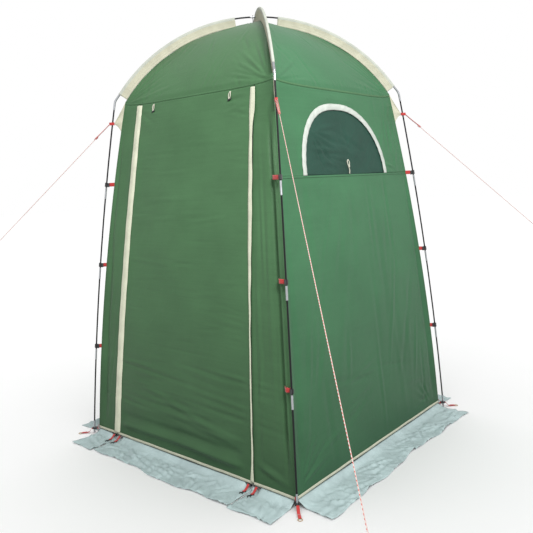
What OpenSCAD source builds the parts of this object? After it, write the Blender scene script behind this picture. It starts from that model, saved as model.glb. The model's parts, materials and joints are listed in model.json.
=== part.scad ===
// Privacy shower tent: a square cabin of thin cloth hung inside two crossing shock-corded poles.
// Origin on the ground at the middle of the base, +Z up, door wall towards -Y, window wall towards +X.

/* [Poles] */
// Height of the middle of the left-right pole at the crown
crown_h = 2250; // [2200:10:2300]
// Half the side of the square that the pole feet stand on
foot_half = 725; // [715:5:760]
// Radius of the left-right pole's roof arch
arch_r = 920; // [905:5:935]
// Angle from the crown at which an arch runs into its elbow
arch_end = 52; // [50:1:54]
// Length of an elbow's upper arm, to its corner
elbow_arm = 80; // [75:5:90]
// Length of an elbow's lower arm, from its corner
elbow_leg = 45; // [40:1:60]
// Bend radius of the elbows
elbow_bend = 45; // [30:5:60]
// Radius that each leg bows to
leg_r = 18000; // [15000:500:24000]
// Diameter of the glass-fibre rods
rod_d = 8; // [7.5:0.1:8.4]
// Bore of the rods, which the shock cord runs in
rod_bore = 4.4; // [3.6:0.1:4.8]
// Outer diameter of the ferrules
ferrule_d = 10; // [9.6:0.1:10.4]
// Length of a ferrule
ferrule_l = 60; // [40:5:70]
// How much higher the front-back pole crosses
pole_lift = 13; // [12.6:0.1:16]

/* [Cloth] */
// Thickness that the cloth is drawn with
cloth = 1.2; // [1:0.1:1.6]
// Depth of the pole sleeves between ridge and pole
sleeve_depth = 45; // [40:1:50]
// Half width of the cabin at its hem
hem_half = 703; // [690:1:706]
// Radius that the walls bow to
wall_r = 18000; // [15000:500:24000]
// Height of the cabin's shoulders
shoulder_z = 1830; // [1825:1:1835]
// Height of the seam between walls and roof
eave_z = 1800; // [1790:1:1810]
// Height of the lower edge of the walls
hem_z = 35; // [34:1:38]

/* [Door] */
// Left zip, distance from the middle at the eave
zip_left_top = 380; // [360:5:400]
// Left zip, distance from the middle at the hem
zip_left_foot = 533; // [520:1:575]
// Right zip, distance from the middle at the eave
zip_right_top = 404; // [380:1:410]
// Right zip, distance from the middle at the hem
zip_right_foot = 460; // [430:1:470]
// Height of the slider on the left zip
slider_left_z = 110; // [100:10:400]
// Height of the slider on the right zip
slider_right_z = 1020; // [600:10:1300]

/* [Window] */
// Height of the seam under the window
window_z = 1397; // [1390:1:1405]
// Half width of the window, outside its binding
window_half = 376; // [350:1:390]
// Height of the window, outside its binding
window_h = 340; // [320:1:345]
// Width of the binding around the window
binding_w = 30; // [24:1:34]
// How far the window's middle lies towards the door
window_shift = 20; // [0:1:30]
// Fullness of the window's shoulder towards the door: 1 is a plain ellipse, less is fuller
arch_fullness = 0.7; // [0.6:0.05:1]

/* [Skirts] */
// How far a skirt reaches out from the hem
skirt_w = 188; // [150:1:200]
// Half length of a skirt
skirt_half = 695; // [680:1:697]

/* [Guy lines] */
// Diameter of the guy lines
guy_d = 3; // [2.5:0.1:3.5]
// Height of the webbing loops that the guy lines leave from
guy_z = 1717; // [1700:1:1725]

/* [Hidden] */

GREEN = "seagreen";
LIGHT_GREEN = "mediumseagreen";
CREAM = "beige";
SKIRT_GREY = "lightsteelblue";
RED = "crimson";
BLACK = "#202020";
STEEL = "silver";

// Directions of the four corners, as turns about +Z
FRONT = -45;
RIGHT = 45;
BACK = 135;
LEFT = 225;
CORNERS = [FRONT, RIGHT, BACK, LEFT];
// Turns about +Z that carry the door wall onto each wall
WINDOW_SIDE = 90;
BACK_SIDE = 180;
LEFT_SIDE = 270;

round_fn = 48;
arch_z = crown_h - arch_r;
ridge_r = arch_r - sleeve_depth;
foot = [foot_half * sqrt(2), 0];
clip_heights = [505, 960, 1395];
ferrule_drop = 45;
tip_d = 10;
tip_h = 72;
seam_gap = 0.5;

// ---- Curves in the upright plane of a pole: [distance from the middle, height] ----

// Radius of the arch of the left-right pole (a) and of the front-back pole (b)
ARCH_A = arch_r;
ARCH_B = arch_r + pole_lift;

function arch_point(r, turn) = [r * sin(turn), arch_z + r * cos(turn)];
function elbow_corner(r) = arch_point(r, arch_end) + elbow_arm * [cos(arch_end), -sin(arch_end)];

// Middle of the circle of radius r through p and q that bows away from the tent's middle
function bow_middle(p, q, r) =
    let (d = q - p, long = norm(d), h = sqrt(r * r - long * long / 4))
    (p + q) / 2 + h * [-d[1], d[0]] / long;

function leg_middle(r) = bow_middle(foot, elbow_corner(r), leg_r);
function leg_turn(r, z) = asin((z - leg_middle(r)[1]) / leg_r);
function leg_point(r, z) = leg_middle(r) + leg_r * [cos(leg_turn(r, z)), sin(leg_turn(r, z))];
function elbow_lean(r) = leg_turn(r, elbow_corner(r)[1]);
function elbow_tangent(r) = elbow_bend * tan((90 - arch_end - elbow_lean(r)) / 2);

// ---- Curve of the cabin: half width at each height ----

function roof_half(z, in = 0) = sqrt(max(0, pow(ridge_r - in, 2) - pow(z - arch_z, 2))) / sqrt(2);
wall_base = [hem_half, 20];
wall_top = [roof_half(shoulder_z), shoulder_z];
wall_middle = bow_middle(wall_base, wall_top, wall_r);
function wall_half(z) = wall_middle[0] + sqrt(wall_r * wall_r - pow(z - wall_middle[1], 2));
function wall_lean(z) = asin((z - wall_middle[1]) / wall_r);
function half_at(z) = z <= shoulder_z ? wall_half(z) : roof_half(z);
function corner_at(z) = half_at(z) * sqrt(2);

// ---- Placing ----

// Stands a shape drawn in [distance from the middle, height] upright in a corner's plane
module in_corner(turn) {
    rotate([90, 0, turn]) children();
}

module at_corners(turns = CORNERS) {
    for (turn = turns) in_corner(turn) children();
}

// Extrudes a shape drawn in [distance outwards, height] along the door wall, from x0 to x1
module along_wall(x0, x1) {
    rotate([90, 0, -90]) translate([0, 0, -x1]) linear_extrude(x1 - x0) children();
}

module tube(len, r, hole) {
    difference() {
        cylinder(h = len, r = r, $fn = round_fn);
        if (hole > 0) translate([0, 0, -1]) cylinder(h = len + 2, r = hole, $fn = round_fn);
    }
}

// A tube in the plane, bent about a middle from one turn to another
module bent_tube(middle, bend, turn0, turn1, r, hole, steps = 8) {
    translate(middle) rotate([0, 0, turn0])
        rotate_extrude(angle = turn1 - turn0, $fn = ceil(360 * steps / (turn1 - turn0)))
            translate([bend, 0]) difference() {
                circle(r = r, $fn = round_fn);
                if (hole > 0) circle(r = hole, $fn = round_fn);
            }
}

// A straight tube in the plane, from a point along a direction
module straight_tube(start, turn, len, r, hole) {
    translate(start) rotate([0, 0, turn]) rotate([0, 90, 0]) tube(len, r, hole);
}

module leg_tube(r_arch, z0, z1, r, hole = 0) {
    bent_tube(leg_middle(r_arch), leg_r, leg_turn(r_arch, z0), leg_turn(r_arch, z1), r, hole);
}

module arch_tube(r_arch, turn0, turn1, r, hole = 0) {
    bent_tube([0, arch_z], r_arch, 90 - turn1, 90 - turn0, r, hole, 12);
}

// ---- Swept cords: a tube of eight sides along points of the plane ----

function direction(path, i) =
    let (a = path[max(0, i - 1)], b = path[min(len(path) - 1, i + 1)]) (b - a) / norm(b - a);
function cord_ring(p, t, r) =
    [for (k = [0 : 7]) let (a = 45 * k) [p[0] - t[1] * r * cos(a), p[1] + t[0] * r * cos(a), r * sin(a)]];

module cord(path, r) {
    n = len(path);
    points = [for (i = [0 : n - 1]) each cord_ring(path[i], direction(path, i), r)];
    sides = [for (i = [0 : n - 2], k = [0 : 7]) let (a = 8 * i + k, b = 8 * i + (k + 1) % 8)
        each [[a, a + 8, b], [b, a + 8, b + 8]]];
    ends = [[for (k = [0 : 7]) k], [for (k = [7 : -1 : 0]) 8 * (n - 1) + k]];
    polyhedron(points = points, faces = concat(sides, ends));
}

// ---- Poles ----

ferrule_gap = 0.5;
arch_joint = arch_end / 2;
// How far a roof rod runs on into its elbow, as a turn of the arch, and how far below the elbow's
// corner the top of a leg rod stays
rod_entry = 0.7;
rod_stop = 16;

function ferrule_heights() = [for (z = clip_heights) z - ferrule_drop];
function leg_cuts(r) = concat([10], ferrule_heights(), [elbow_corner(r)[1] - rod_stop]);

module leg_rods(r_arch) {
    cuts = leg_cuts(r_arch);
    for (i = [0 : len(cuts) - 2])
        leg_tube(r_arch, cuts[i] + ferrule_gap, cuts[i + 1] - ferrule_gap, rod_d / 2, rod_bore / 2);
}

module roof_rods(r_arch) {
    gap = ferrule_gap / r_arch * 180 / PI;
    arch_tube(r_arch, gap, arch_joint - gap, rod_d / 2, rod_bore / 2);
    arch_tube(r_arch, arch_joint + gap, arch_end + rod_entry, rod_d / 2, rod_bore / 2);
}

module pole_rods(r_arch, turns) {
    color(BLACK) at_corners(turns) {
        leg_rods(r_arch);
        roof_rods(r_arch);
    }
}

module pole_a_rods() { pole_rods(ARCH_A, [LEFT, RIGHT]); }
module pole_b_rods() { pole_rods(ARCH_B, [FRONT, BACK]); }

elbow_r = 5.4;
elbow_bore = rod_d / 2 + 0.15;
elbow_lap = 0.5;

// Two straight sockets and the slightly stouter bend between them, which the rods stop at
module elbow(r_arch) {
    corner = elbow_corner(r_arch);
    tangent = elbow_tangent(r_arch);
    lean = elbow_lean(r_arch);
    up = [-cos(arch_end), sin(arch_end)];
    down = [sin(lean), -cos(lean)];
    bend_middle = corner + tangent * up - elbow_bend * [sin(arch_end), cos(arch_end)];
    start = tangent - elbow_lap;
    straight_tube(corner + start * up, 180 - arch_end, elbow_arm - start, elbow_r, elbow_bore);
    bent_tube(bend_middle, elbow_bend, lean, 90 - arch_end, elbow_r + 0.3, elbow_bore - 0.4, 6);
    straight_tube(corner + start * down, lean - 90, elbow_leg - start, elbow_r, elbow_bore);
}

module shoulder_elbows() {
    color(STEEL) {
        at_corners([LEFT, RIGHT]) elbow(ARCH_A);
        at_corners([FRONT, BACK]) elbow(ARCH_B);
    }
}

module half_ferrules(r_arch) {
    bore = rod_d / 2 + 0.05;
    turn = ferrule_l / 2 / r_arch * 180 / PI;
    for (z = ferrule_heights())
        leg_tube(r_arch, z - ferrule_l / 2, z + ferrule_l / 2, ferrule_d / 2, bore);
    arch_tube(r_arch, arch_joint - turn, arch_joint + turn, ferrule_d / 2, bore);
}

module crown_ferrule(r_arch) {
    turn = ferrule_l / 2 / r_arch * 180 / PI;
    arch_tube(r_arch, -turn, turn, ferrule_d / 2, rod_d / 2 + 0.05);
}

module pole_ferrules() {
    color(STEEL) {
        at_corners([LEFT, RIGHT]) half_ferrules(ARCH_A);
        at_corners([FRONT, BACK]) half_ferrules(ARCH_B);
        in_corner(RIGHT) crown_ferrule(ARCH_A);
        in_corner(FRONT) crown_ferrule(ARCH_B);
    }
}

// A cap on the foot of each leg, with a round end on the ground
module pole_tip(r_arch) {
    bottom = leg_point(r_arch, tip_d / 2);
    along = leg_point(r_arch, tip_h) - bottom;
    turn = atan2(along[1], along[0]);
    difference() {
        union() {
            straight_tube(bottom, turn, norm(along), tip_d / 2, 0);
            translate(bottom) sphere(r = tip_d / 2, $fn = round_fn);
        }
        straight_tube(leg_point(r_arch, 10), turn, tip_h, rod_d / 2 + 0.1, 0);
    }
}

module pole_tips() {
    color(STEEL) {
        at_corners([LEFT, RIGHT]) pole_tip(ARCH_A);
        at_corners([FRONT, BACK]) pole_tip(ARCH_B);
    }
}

// Elastic cord down the middle of one whole pole
shock_r = 1.2;
function half_pole_path(r) =
    let (corner = elbow_corner(r), tangent = elbow_tangent(r), lean = elbow_lean(r),
         bend_middle = corner + tangent * [-cos(arch_end), sin(arch_end)]
             - elbow_bend * [sin(arch_end), cos(arch_end)])
    concat(
        [for (i = [0 : 13]) leg_point(r, 16 + i * (corner[1] - tangent - 24) / 13)],
        [for (i = [0 : 4]) let (a = lean + i * (90 - arch_end - lean) / 4)
            bend_middle + elbow_bend * [cos(a), sin(a)]],
        [for (i = [0 : 13]) arch_point(r, arch_end * (1 - i / 14))]
    );
function mirrored(path) = [for (i = [len(path) - 1 : -1 : 0]) [-path[i][0], path[i][1]]];
function pole_path(r) =
    let (half = half_pole_path(r)) concat(half, [arch_point(r, 0)], mirrored(half));

module shock_cords() {
    color("white") {
        in_corner(RIGHT) cord(pole_path(ARCH_A), shock_r);
        in_corner(FRONT) cord(pole_path(ARCH_B), shock_r);
    }
}

// ---- Cabin cloth ----

wall_steps = 10;
roof_steps = 9;
shoulder_turn = acos((shoulder_z - arch_z) / ridge_r);

// The wall's bowed thickness, drawn from height z0 to z1; out is how far its outer face stands out
module wall_section(z0, z1, out, thick) {
    heights = [for (i = [0 : wall_steps]) z0 + i * (z1 - z0) / wall_steps];
    polygon(concat(
        [for (z = heights) [wall_half(z) + out, z]],
        [for (i = [wall_steps : -1 : 0]) [wall_half(heights[i]) + out - thick, heights[i]]]
    ));
}

// What lies between the two seams at the corners of the door wall
module between_corners() {
    far = 1000;
    linear_extrude(crown_h) polygon([[0, -seam_gap], [-far, -far - seam_gap], [far, -far - seam_gap]]);
}

// A piece of the door wall whose outline, seen from the front, is the child
module wall_piece(z0, z1, out = 0, thick = cloth) {
    intersection() {
        along_wall(-hem_half - 20, hem_half + 20) wall_section(z0, z1, out, thick);
        between_corners();
        rotate([90, 0, 0]) linear_extrude(1000) children();
    }
}

module whole_width() {
    translate([-1000, 0]) square([2000, crown_h]);
}

function zip_left(z) = -zip_left_foot + (zip_left_foot - zip_left_top) * (z - 45) / (eave_z - 45);
function zip_right(z) = zip_right_foot + (zip_right_top - zip_right_foot) * (z - 45) / (eave_z - 45);
zip_gap = 4;
door_top = eave_z - 2;

// Outline between two slanted lines, from their places at the low edge to those at the high one
module strip(low, high, left0, left1, right0, right1) {
    polygon([[left0, low], [right0, low], [right1, high], [left1, high]]);
}

module door_outline(low = hem_z, high = door_top) {
    strip(low, high, zip_left(low) + zip_gap, zip_left(high) + zip_gap,
          zip_right(low) - zip_gap, zip_right(high) - zip_gap);
}

module left_of_door(low, high) {
    strip(low, high, -1000, -1000, zip_left(low) - zip_gap, zip_left(high) - zip_gap);
}

module right_of_door(low, high) {
    strip(low, high, zip_right(low) + zip_gap, zip_right(high) + zip_gap, 1000, 1000);
}

module door_panel() {
    color(GREEN) wall_piece(hem_z, door_top) door_outline();
}

module front_panel_left() {
    color(GREEN) wall_piece(hem_z, door_top) left_of_door(hem_z, door_top);
}

module front_panel_right() {
    color(GREEN) wall_piece(hem_z, door_top) right_of_door(hem_z, door_top);
}

module left_wall() {
    color(GREEN) rotate([0, 0, LEFT_SIDE]) wall_piece(hem_z, door_top) whole_width();
}

module back_wall() {
    color(GREEN) rotate([0, 0, BACK_SIDE]) wall_piece(hem_z, door_top) whole_width();
}

module window_wall_lower() {
    color(LIGHT_GREEN) rotate([0, 0, WINDOW_SIDE])
        wall_piece(hem_z, window_z - seam_gap) whole_width();
}

// Arch standing on the window seam: half an ellipse, fuller in its shoulder towards the door
module arch_outline(grow) {
    a = window_half + grow;
    b = window_h + grow;
    translate([-window_shift, window_z])
        polygon([for (i = [0 : 32]) let (t = 180 * i / 32)
            [t <= 90 ? a * cos(t) : -a * pow(-cos(t), arch_fullness), b * sin(t)]]);
}

module window_wall_upper() {
    color(LIGHT_GREEN) rotate([0, 0, WINDOW_SIDE])
        wall_piece(window_z + seam_gap, door_top) difference() {
            whole_width();
            arch_outline(-binding_w);
            translate([-1000, 0]) square([2000, window_z]);
            translate([-window_shift - window_half + binding_w, window_z - 1])
                square([2 * (window_half - binding_w), 2]);
        }
}

// One of four curved roof gores
module roof_gore() {
    turns = [for (i = [0 : roof_steps]) shoulder_turn * (1 - i / roof_steps)];
    outer = [for (t = turns) [ridge_r * sin(t) / sqrt(2), arch_z + ridge_r * cos(t)]];
    in_r = ridge_r - cloth;
    inner = [for (i = [roof_steps : -1 : 0]) let (t = turns[i])
        [in_r * sin(t) / sqrt(2), arch_z + in_r * cos(t)]];
    intersection() {
        along_wall(-hem_half, hem_half) polygon(concat(
            [[wall_half(eave_z), eave_z]], outer, inner, [[wall_half(eave_z) - cloth, eave_z]]
        ));
        between_corners();
    }
}

module roof_front() { color(LIGHT_GREEN) roof_gore(); }
module roof_right() { color(GREEN) rotate([0, 0, WINDOW_SIDE]) roof_gore(); }
module roof_back() { color(GREEN) rotate([0, 0, BACK_SIDE]) roof_gore(); }
module roof_left() { color(GREEN) rotate([0, 0, LEFT_SIDE]) roof_gore(); }

// ---- Hem tape and mud skirts ----

tape_z = [30, 44];
tape_out = 1.5;
tape_thick = 1.2;
skirt_top = [hem_half - 0.7, 28.5];
skirt_thick = 1.6;
skirt_gap = 3;

module hem_strip() {
    wall_piece(tape_z[0], tape_z[1], tape_out, tape_thick) children();
}

module hem_tape() {
    color(CREAM) {
        hem_strip() left_of_door(tape_z[0], tape_z[1]);
        hem_strip() right_of_door(tape_z[0], tape_z[1]);
        for (turn = [WINDOW_SIDE, BACK_SIDE, LEFT_SIDE])
            rotate([0, 0, turn]) hem_strip() whole_width();
    }
}

module door_hem() {
    color(CREAM) hem_strip() door_outline(tape_z[0], tape_z[1]);
}

// Slopes from the hem to the ground and lies flat from there on
module skirt(x0, x1) {
    slope = 30;
    edge = skirt_top[0] + skirt_w;
    along_wall(x0, x1) polygon([
        skirt_top, skirt_top + [1.5, 0],
        [skirt_top[0] + slope + 1, skirt_thick], [edge, skirt_thick],
        [edge, 0], [skirt_top[0] + slope, 0]
    ]);
}

module skirt_front_left() {
    color(SKIRT_GREY) skirt(-skirt_half, -zip_left_foot - skirt_gap);
}

module door_skirt() {
    color(SKIRT_GREY) skirt(-zip_left_foot + skirt_gap, zip_right_foot - skirt_gap);
}

module skirt_front_right() {
    color(SKIRT_GREY) skirt(zip_right_foot + skirt_gap, skirt_half);
}

module side_skirt(turn) {
    color(SKIRT_GREY) rotate([0, 0, turn]) skirt(-skirt_half, skirt_half);
}

module skirt_right() { side_skirt(WINDOW_SIDE); }
module skirt_back() { side_skirt(BACK_SIDE); }
module skirt_left() { side_skirt(LEFT_SIDE); }

// ---- Sleeves, gussets and guy loops ----

sleeve_in = 6.4;
sleeve_out = 7.6;
sleeve_end = arch_end + 2.4;
bare_crown = 7.2;
sleeve_step = 2;

// A cloth channel around the pole on an upright fin, from turn0 to turn1 of the arch
module sleeve(r_arch, turn0, turn1) {
    bent_tube([0, arch_z], r_arch, 90 - turn1, 90 - turn0, sleeve_out, sleeve_in,
              (turn1 - turn0) / sleeve_step);
    translate([0, arch_z]) rotate([0, 0, 90 - turn1])
        rotate_extrude(angle = turn1 - turn0, $fn = 360 / sleeve_step)
            translate([ridge_r + seam_gap, -cloth / 2])
                square([r_arch - sleeve_in - 0.3 - ridge_r - seam_gap, cloth]);
}

module sleeve_a() {
    color(CREAM) at_corners([LEFT, RIGHT]) sleeve(ARCH_A, bare_crown, sleeve_end);
}

// Runs over the crossing, with a hole in its fin that the other pole passes through
module sleeve_b() {
    color(CREAM) in_corner(FRONT) difference() {
        sleeve(ARCH_B, -sleeve_end, sleeve_end);
        translate([0, crown_h, -20]) cylinder(h = 40, r = 5.8, $fn = round_fn);
    }
}

// Triangle of cloth from the cabin's shoulder seam to the pole
module gusset(r_arch) {
    low = 1678;
    high = 1826;
    tip = leg_point(r_arch, guy_z)[0] - loop_start - loop_r - 1.5;
    translate([0, 0, -cloth / 2]) linear_extrude(cloth) polygon([
        [corner_at(low) + 0.5, low],
        [tip, guy_z - 5], [tip, guy_z + 8],
        [corner_at(high) + 0.5, high],
        [corner_at(guy_z) + 0.5, guy_z]
    ]);
}

module shoulder_gussets() {
    color(CREAM) {
        at_corners([LEFT, RIGHT]) gusset(ARCH_A);
        at_corners([FRONT, BACK]) gusset(ARCH_B);
    }
}

loop_r = 7;
loop_reach = 10;
loop_start = 4;

module slot_shape(r, reach) {
    circle(r = r, $fn = round_fn);
    translate([reach, 0]) circle(r = r, $fn = round_fn);
    translate([0, -r]) square([reach, 2 * r]);
}

// Webbing band round the pole, which the guy line pulls on
module guy_loop(r_arch) {
    start = leg_point(r_arch, guy_z)[0] - loop_start;
    translate([start, 0, guy_z - loop_r]) linear_extrude(2 * loop_r) difference() {
        slot_shape(loop_r, loop_reach + loop_start);
        slot_shape(loop_r - 1.2, loop_reach + loop_start);
    }
}

module guy_loops() {
    color(RED) {
        for (turn = [LEFT, RIGHT]) rotate([0, 0, turn]) guy_loop(ARCH_A);
        for (turn = [FRONT, BACK]) rotate([0, 0, turn]) guy_loop(ARCH_B);
    }
}

// ---- Clips on the legs ----

clip_h = 22;
clip_in = rod_d / 2 + 0.4;
clip_out = clip_in + 4.2;
clip_stem = 5;
clip_back = 2;
strap_gap = 1.9;
strap_w = 20;

// Open hook along the rod, with a slotted block on the cabin's side
module leg_clip(r_arch, z) {
    translate([leg_point(r_arch, z)[0], 0, z]) rotate([0, -leg_turn(r_arch, z), 0]) {
        translate([0, 0, -clip_h / 2]) linear_extrude(clip_h) difference() {
            union() {
                circle(r = clip_out, $fn = round_fn);
                translate([-clip_out - clip_stem, -5]) square([clip_out + clip_stem - clip_in, 10]);
            }
            circle(r = clip_in, $fn = round_fn);
            translate([-1, 0]) square([20, 20]);
        }
        translate([-clip_out - clip_stem - clip_back, -6, -clip_h / 2])
            cube([clip_back, 12, clip_h]);
    }
}

module each_clip(turns) {
    for (turn = turns, z = clip_heights) rotate([0, 0, turn]) {
        $z = z;
        children();
    }
}

module leg_clips() {
    color(BLACK) {
        each_clip([LEFT, RIGHT]) leg_clip(ARCH_A, $z);
        each_clip([FRONT, BACK]) leg_clip(ARCH_B, $z);
    }
}

// Webbing from the corner seam to the clip
module clip_strap(r_arch, z) {
    start = corner_at(z) + 1.5;
    end = leg_point(r_arch, z)[0] - clip_out - clip_stem - clip_back - strap_gap;
    translate([start, -0.8, z - strap_w / 2]) cube([end - start, 1.6, strap_w]);
}

module clip_webbing() {
    color(RED) {
        each_clip([LEFT, RIGHT]) clip_strap(ARCH_A, $z);
        each_clip([FRONT, BACK]) clip_strap(ARCH_B, $z);
    }
}

// ---- Corner feet: ring round the pole tip, straps and peg cord ----

ring_z = 24;
ring_h = 8;
ring_r = 12;
ring_x = leg_point(ARCH_A, ring_z + ring_h / 2)[0];
tail_end = foot[0] + 74;
strap_half = 7;

module corner_ring() {
    translate([ring_x, 0, ring_z]) linear_extrude(ring_h) difference() {
        union() {
            circle(r = ring_r, $fn = round_fn);
            polygon([[-16, -10], [0, -ring_r], [0, ring_r], [-16, 10]]);
        }
        circle(r = tip_d / 2 + 1, $fn = round_fn);
    }
}

module corner_rings() {
    color(BLACK) for (turn = CORNERS) rotate([0, 0, turn]) corner_ring();
}

// Webbing up to the hem's corner and webbing out to the ground
module corner_strap() {
    seam = corner_at(45) + tape_out * sqrt(2) + 1;
    inner_end = ring_x - 16.4;
    outer = ring_x + ring_r + 0.5;
    translate([0, 0, -strap_half]) linear_extrude(2 * strap_half) {
        polygon([
            [seam, 46], [seam + 1.4, 46], [inner_end, 32], [inner_end, 25], [inner_end - 1.4, 25],
            [inner_end - 1.4, 31]
        ]);
        polygon([
            [outer, 31], [outer + 1.4, 31], [outer + 16, 3], [tail_end - 8, 1.6],
            [tail_end - 8, 0.2], [outer + 15, 1.4], [outer, 27]
        ]);
    }
}

module corner_straps() {
    color(RED) for (turn = CORNERS) in_corner(turn) corner_strap();
}

peg_loop_r = 9.5;
peg_cord_r = 1.5;

// Loop of cord on the ground for a tent peg
module peg_cord() {
    translate([tail_end + peg_loop_r - 6, 0, peg_cord_r + 0.2])
        rotate_extrude($fn = round_fn) translate([peg_loop_r, 0])
            circle(r = peg_cord_r, $fn = 24);
}

module peg_cords() {
    color("tan") for (turn = CORNERS) rotate([0, 0, turn]) peg_cord();
}

// ---- Door trimmings ----

coil_half = 3;

// A coil down the line of a zip, from its place at the hem to its place at the eave
module zip_coil(low_x, high_x) {
    wall_piece(tape_z[0], door_top, 0.6, 2.2)
        strip(tape_z[0], door_top, low_x - coil_half, high_x - coil_half,
              low_x + coil_half, high_x + coil_half);
}

module zip_coils() {
    color("dimgray") {
        zip_coil(zip_left(tape_z[0]), zip_left(door_top));
        zip_coil(zip_right(tape_z[0]), zip_right(door_top));
    }
}

cover_out = 6.8;
cover_low = 40;
cover_high = door_top - 8;

// A storm flap sewn to the door, between two distances from the line of its zip
module zip_cover(low_x, high_x, low_from, low_to, high_from, high_to, out) {
    wall_piece(cover_low, cover_high, out)
        strip(cover_low, cover_high, low_x + low_from, high_x + high_from,
              low_x + low_to, high_x + high_to);
}

module zip_covers() {
    color(CREAM) {
        zip_cover(zip_left(cover_low), zip_left(cover_high), -30, 30, -22, 22, cover_out);
        zip_cover(zip_right(cover_low), zip_right(cover_high), -16, 10, -20, 16, cover_out);
    }
}

// Slider with its pull tab, laid on the wall about a point of the zip
module slider(x, z) {
    translate([x, -wall_half(z), z]) rotate([-wall_lean(z), 0, 0]) {
        translate([-4, -3.9, -7]) cube([8, 2.5, 14]);
        translate([0, -4.1, -28]) rotate([90, 0, 0]) linear_extrude(1) difference() {
            union() {
                translate([-2.5, 0]) square([5, 26]);
                circle(r = 4, $fn = round_fn);
            }
            circle(r = 2, $fn = round_fn);
        }
    }
}

module zip_slider_left() { color(BLACK) slider(zip_left(slider_left_z), slider_left_z); }
module zip_slider_right() { color(BLACK) slider(zip_right(slider_right_z), slider_right_z); }

toggle_z = 1788;
toggle_left_x = -270;
toggle_right_x = 262;
loop_w = 4;
loop_h = 24;
cord_r = 1.3;

// Upright loop of cord on the wall's face, which may lean with the wall; z is the height of its top
module wall_loop(x, z, out, width, high, lean = 0) {
    middle = z - high / 2;
    translate([x, -wall_half(middle) - out, middle]) rotate([90 - lean, 0, 0]) {
        for (s = [-1, 1]) translate([s * width, -high / 2, 0])
            rotate([-90, 0, 0]) cylinder(h = high, r = cord_r, $fn = 24);
        for (turn = [0, 180]) rotate([0, 0, turn]) translate([0, high / 2, 0])
            rotate_extrude(angle = 180, $fn = round_fn)
                translate([width, 0]) circle(r = cord_r, $fn = 24);
    }
}

module toggle(x) {
    z = toggle_z - loop_h - loop_w - cord_r - 4;
    translate([x, -wall_half(z) - 5.2, z]) rotate([0, 70, 0]) {
        cylinder(h = 16, r = 3.6, center = true, $fn = round_fn);
        for (s = [-1, 1]) translate([0, 0, s * 8]) sphere(r = 3.6, $fn = round_fn);
    }
}

module toggle_loop_left() { color(CREAM) wall_loop(toggle_left_x, toggle_z, 4.4, loop_w, loop_h); }
module toggle_loop_right() { color(CREAM) wall_loop(toggle_right_x, toggle_z, 4.4, loop_w, loop_h); }
module toggle_left() { color(BLACK) toggle(toggle_left_x); }
module toggle_right() { color(BLACK) toggle(toggle_right_x); }

// ---- Window ----

module window_mesh() {
    color("darkslategray") rotate([0, 0, WINDOW_SIDE])
        wall_piece(window_z, door_top, -cloth - 0.3, 1) arch_outline(-binding_w + 10);
}

module window_flap() {
    color("darkgreen") rotate([0, 0, WINDOW_SIDE])
        wall_piece(window_z, door_top, -7, cloth) arch_outline(-binding_w + 18);
}

module window_binding() {
    color(CREAM) rotate([0, 0, WINDOW_SIDE])
        wall_piece(window_z, door_top, 1.4, cloth) difference() {
            arch_outline(0);
            arch_outline(-binding_w - 2);
            translate([-window_shift - window_half + binding_w + 2, window_z - 1])
                square([2 * (window_half - binding_w - 2), 2]);
        }
}

tie_x = -25;
tie_h = 56;
tie_top = window_z + 62;

module window_tie() {
    color(CREAM) rotate([0, 0, WINDOW_SIDE])
        wall_loop(tie_x, tie_top, 2.6, 7, tie_h, wall_lean(tie_top - tie_h / 2));
}

// ---- Peg tabs at the zips' lower ends ----

tab_side = 24;
tab_half = 6.5;
hook_out = 33.4;

// Webbing tab on the skirt's slope
module peg_tab(x) {
    u = skirt_top[0];
    color(RED) along_wall(x - tab_half, x + tab_half) polygon([
        [u + 5, 27.1], [u + 5.8, 28.4], [u + 31, 5.2], [u + hook_out - 0.4, 4.6],
        [u + hook_out - 0.4, 3.2], [u + 30.5, 3.6]
    ]);
}

// Flat hook that a peg holds down, lying on the skirt
module peg_hook(x) {
    u = skirt_top[0] + hook_out;
    color(BLACK) translate([x, -u, 2.2]) linear_extrude(4) difference() {
        union() {
            translate([-9, -6]) square([18, 6]);
            translate([-3.5, -22]) square([7, 17]);
            translate([0, -26]) circle(r = 9, $fn = round_fn);
        }
        translate([0, -26]) circle(r = 5, $fn = round_fn);
        translate([0, -40]) square([10, 14]);
    }
}

module peg_tabs_door() {
    peg_tab(-zip_left_foot + tab_side);
    peg_tab(zip_right_foot - tab_side);
}

module peg_hooks_door() {
    peg_hook(-zip_left_foot + tab_side);
    peg_hook(zip_right_foot - tab_side);
}

module peg_tab_left() { peg_tab(-zip_left_foot - tab_side); }
module peg_hook_left() { peg_hook(-zip_left_foot - tab_side); }
module peg_tab_right() { peg_tab(zip_right_foot + tab_side); }
module peg_hook_right() { peg_hook(zip_right_foot + tab_side); }

// ---- Guy lines ----

// Each: corner, slope below the horizontal, length of the single strand, arch of its pole
GUY_LEFT = [LEFT, 43.4, 830, ARCH_A];
GUY_RIGHT = [RIGHT, 40.6, 960, ARCH_A];
GUY_FRONT = [FRONT, 37.1, 1780, ARCH_B];

// The line's end, past the single strand: [along the line, sideways]
GUY_END = [
    [40, 0], [120, 0], [190, 0], [206, -1], [222, -4], [238, -5], [249, -1], [253, 5],
    [249, 11], [238, 15], [222, 14], [206, 11], [190, 10], [120, 10], [60, 10]
];
runner_x = 150;
runner_l = 30;
strand_gap = 10;

function guy_exit(guy) = [leg_point(guy[3], guy_z)[0] + loop_reach + loop_r + 1.4, 0, guy_z - 5];
function guy_path(guy) = concat(
    [for (i = [0 : 11]) [guy[2] * i / 12, 0]],
    [for (p = GUY_END) p + [guy[2], 0]]
);

// Lays +X along the line and +Y sideways
module on_guy(guy) {
    rotate([0, 0, guy[0]]) translate(guy_exit(guy)) rotate([0, guy[1], 0]) children();
}

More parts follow.
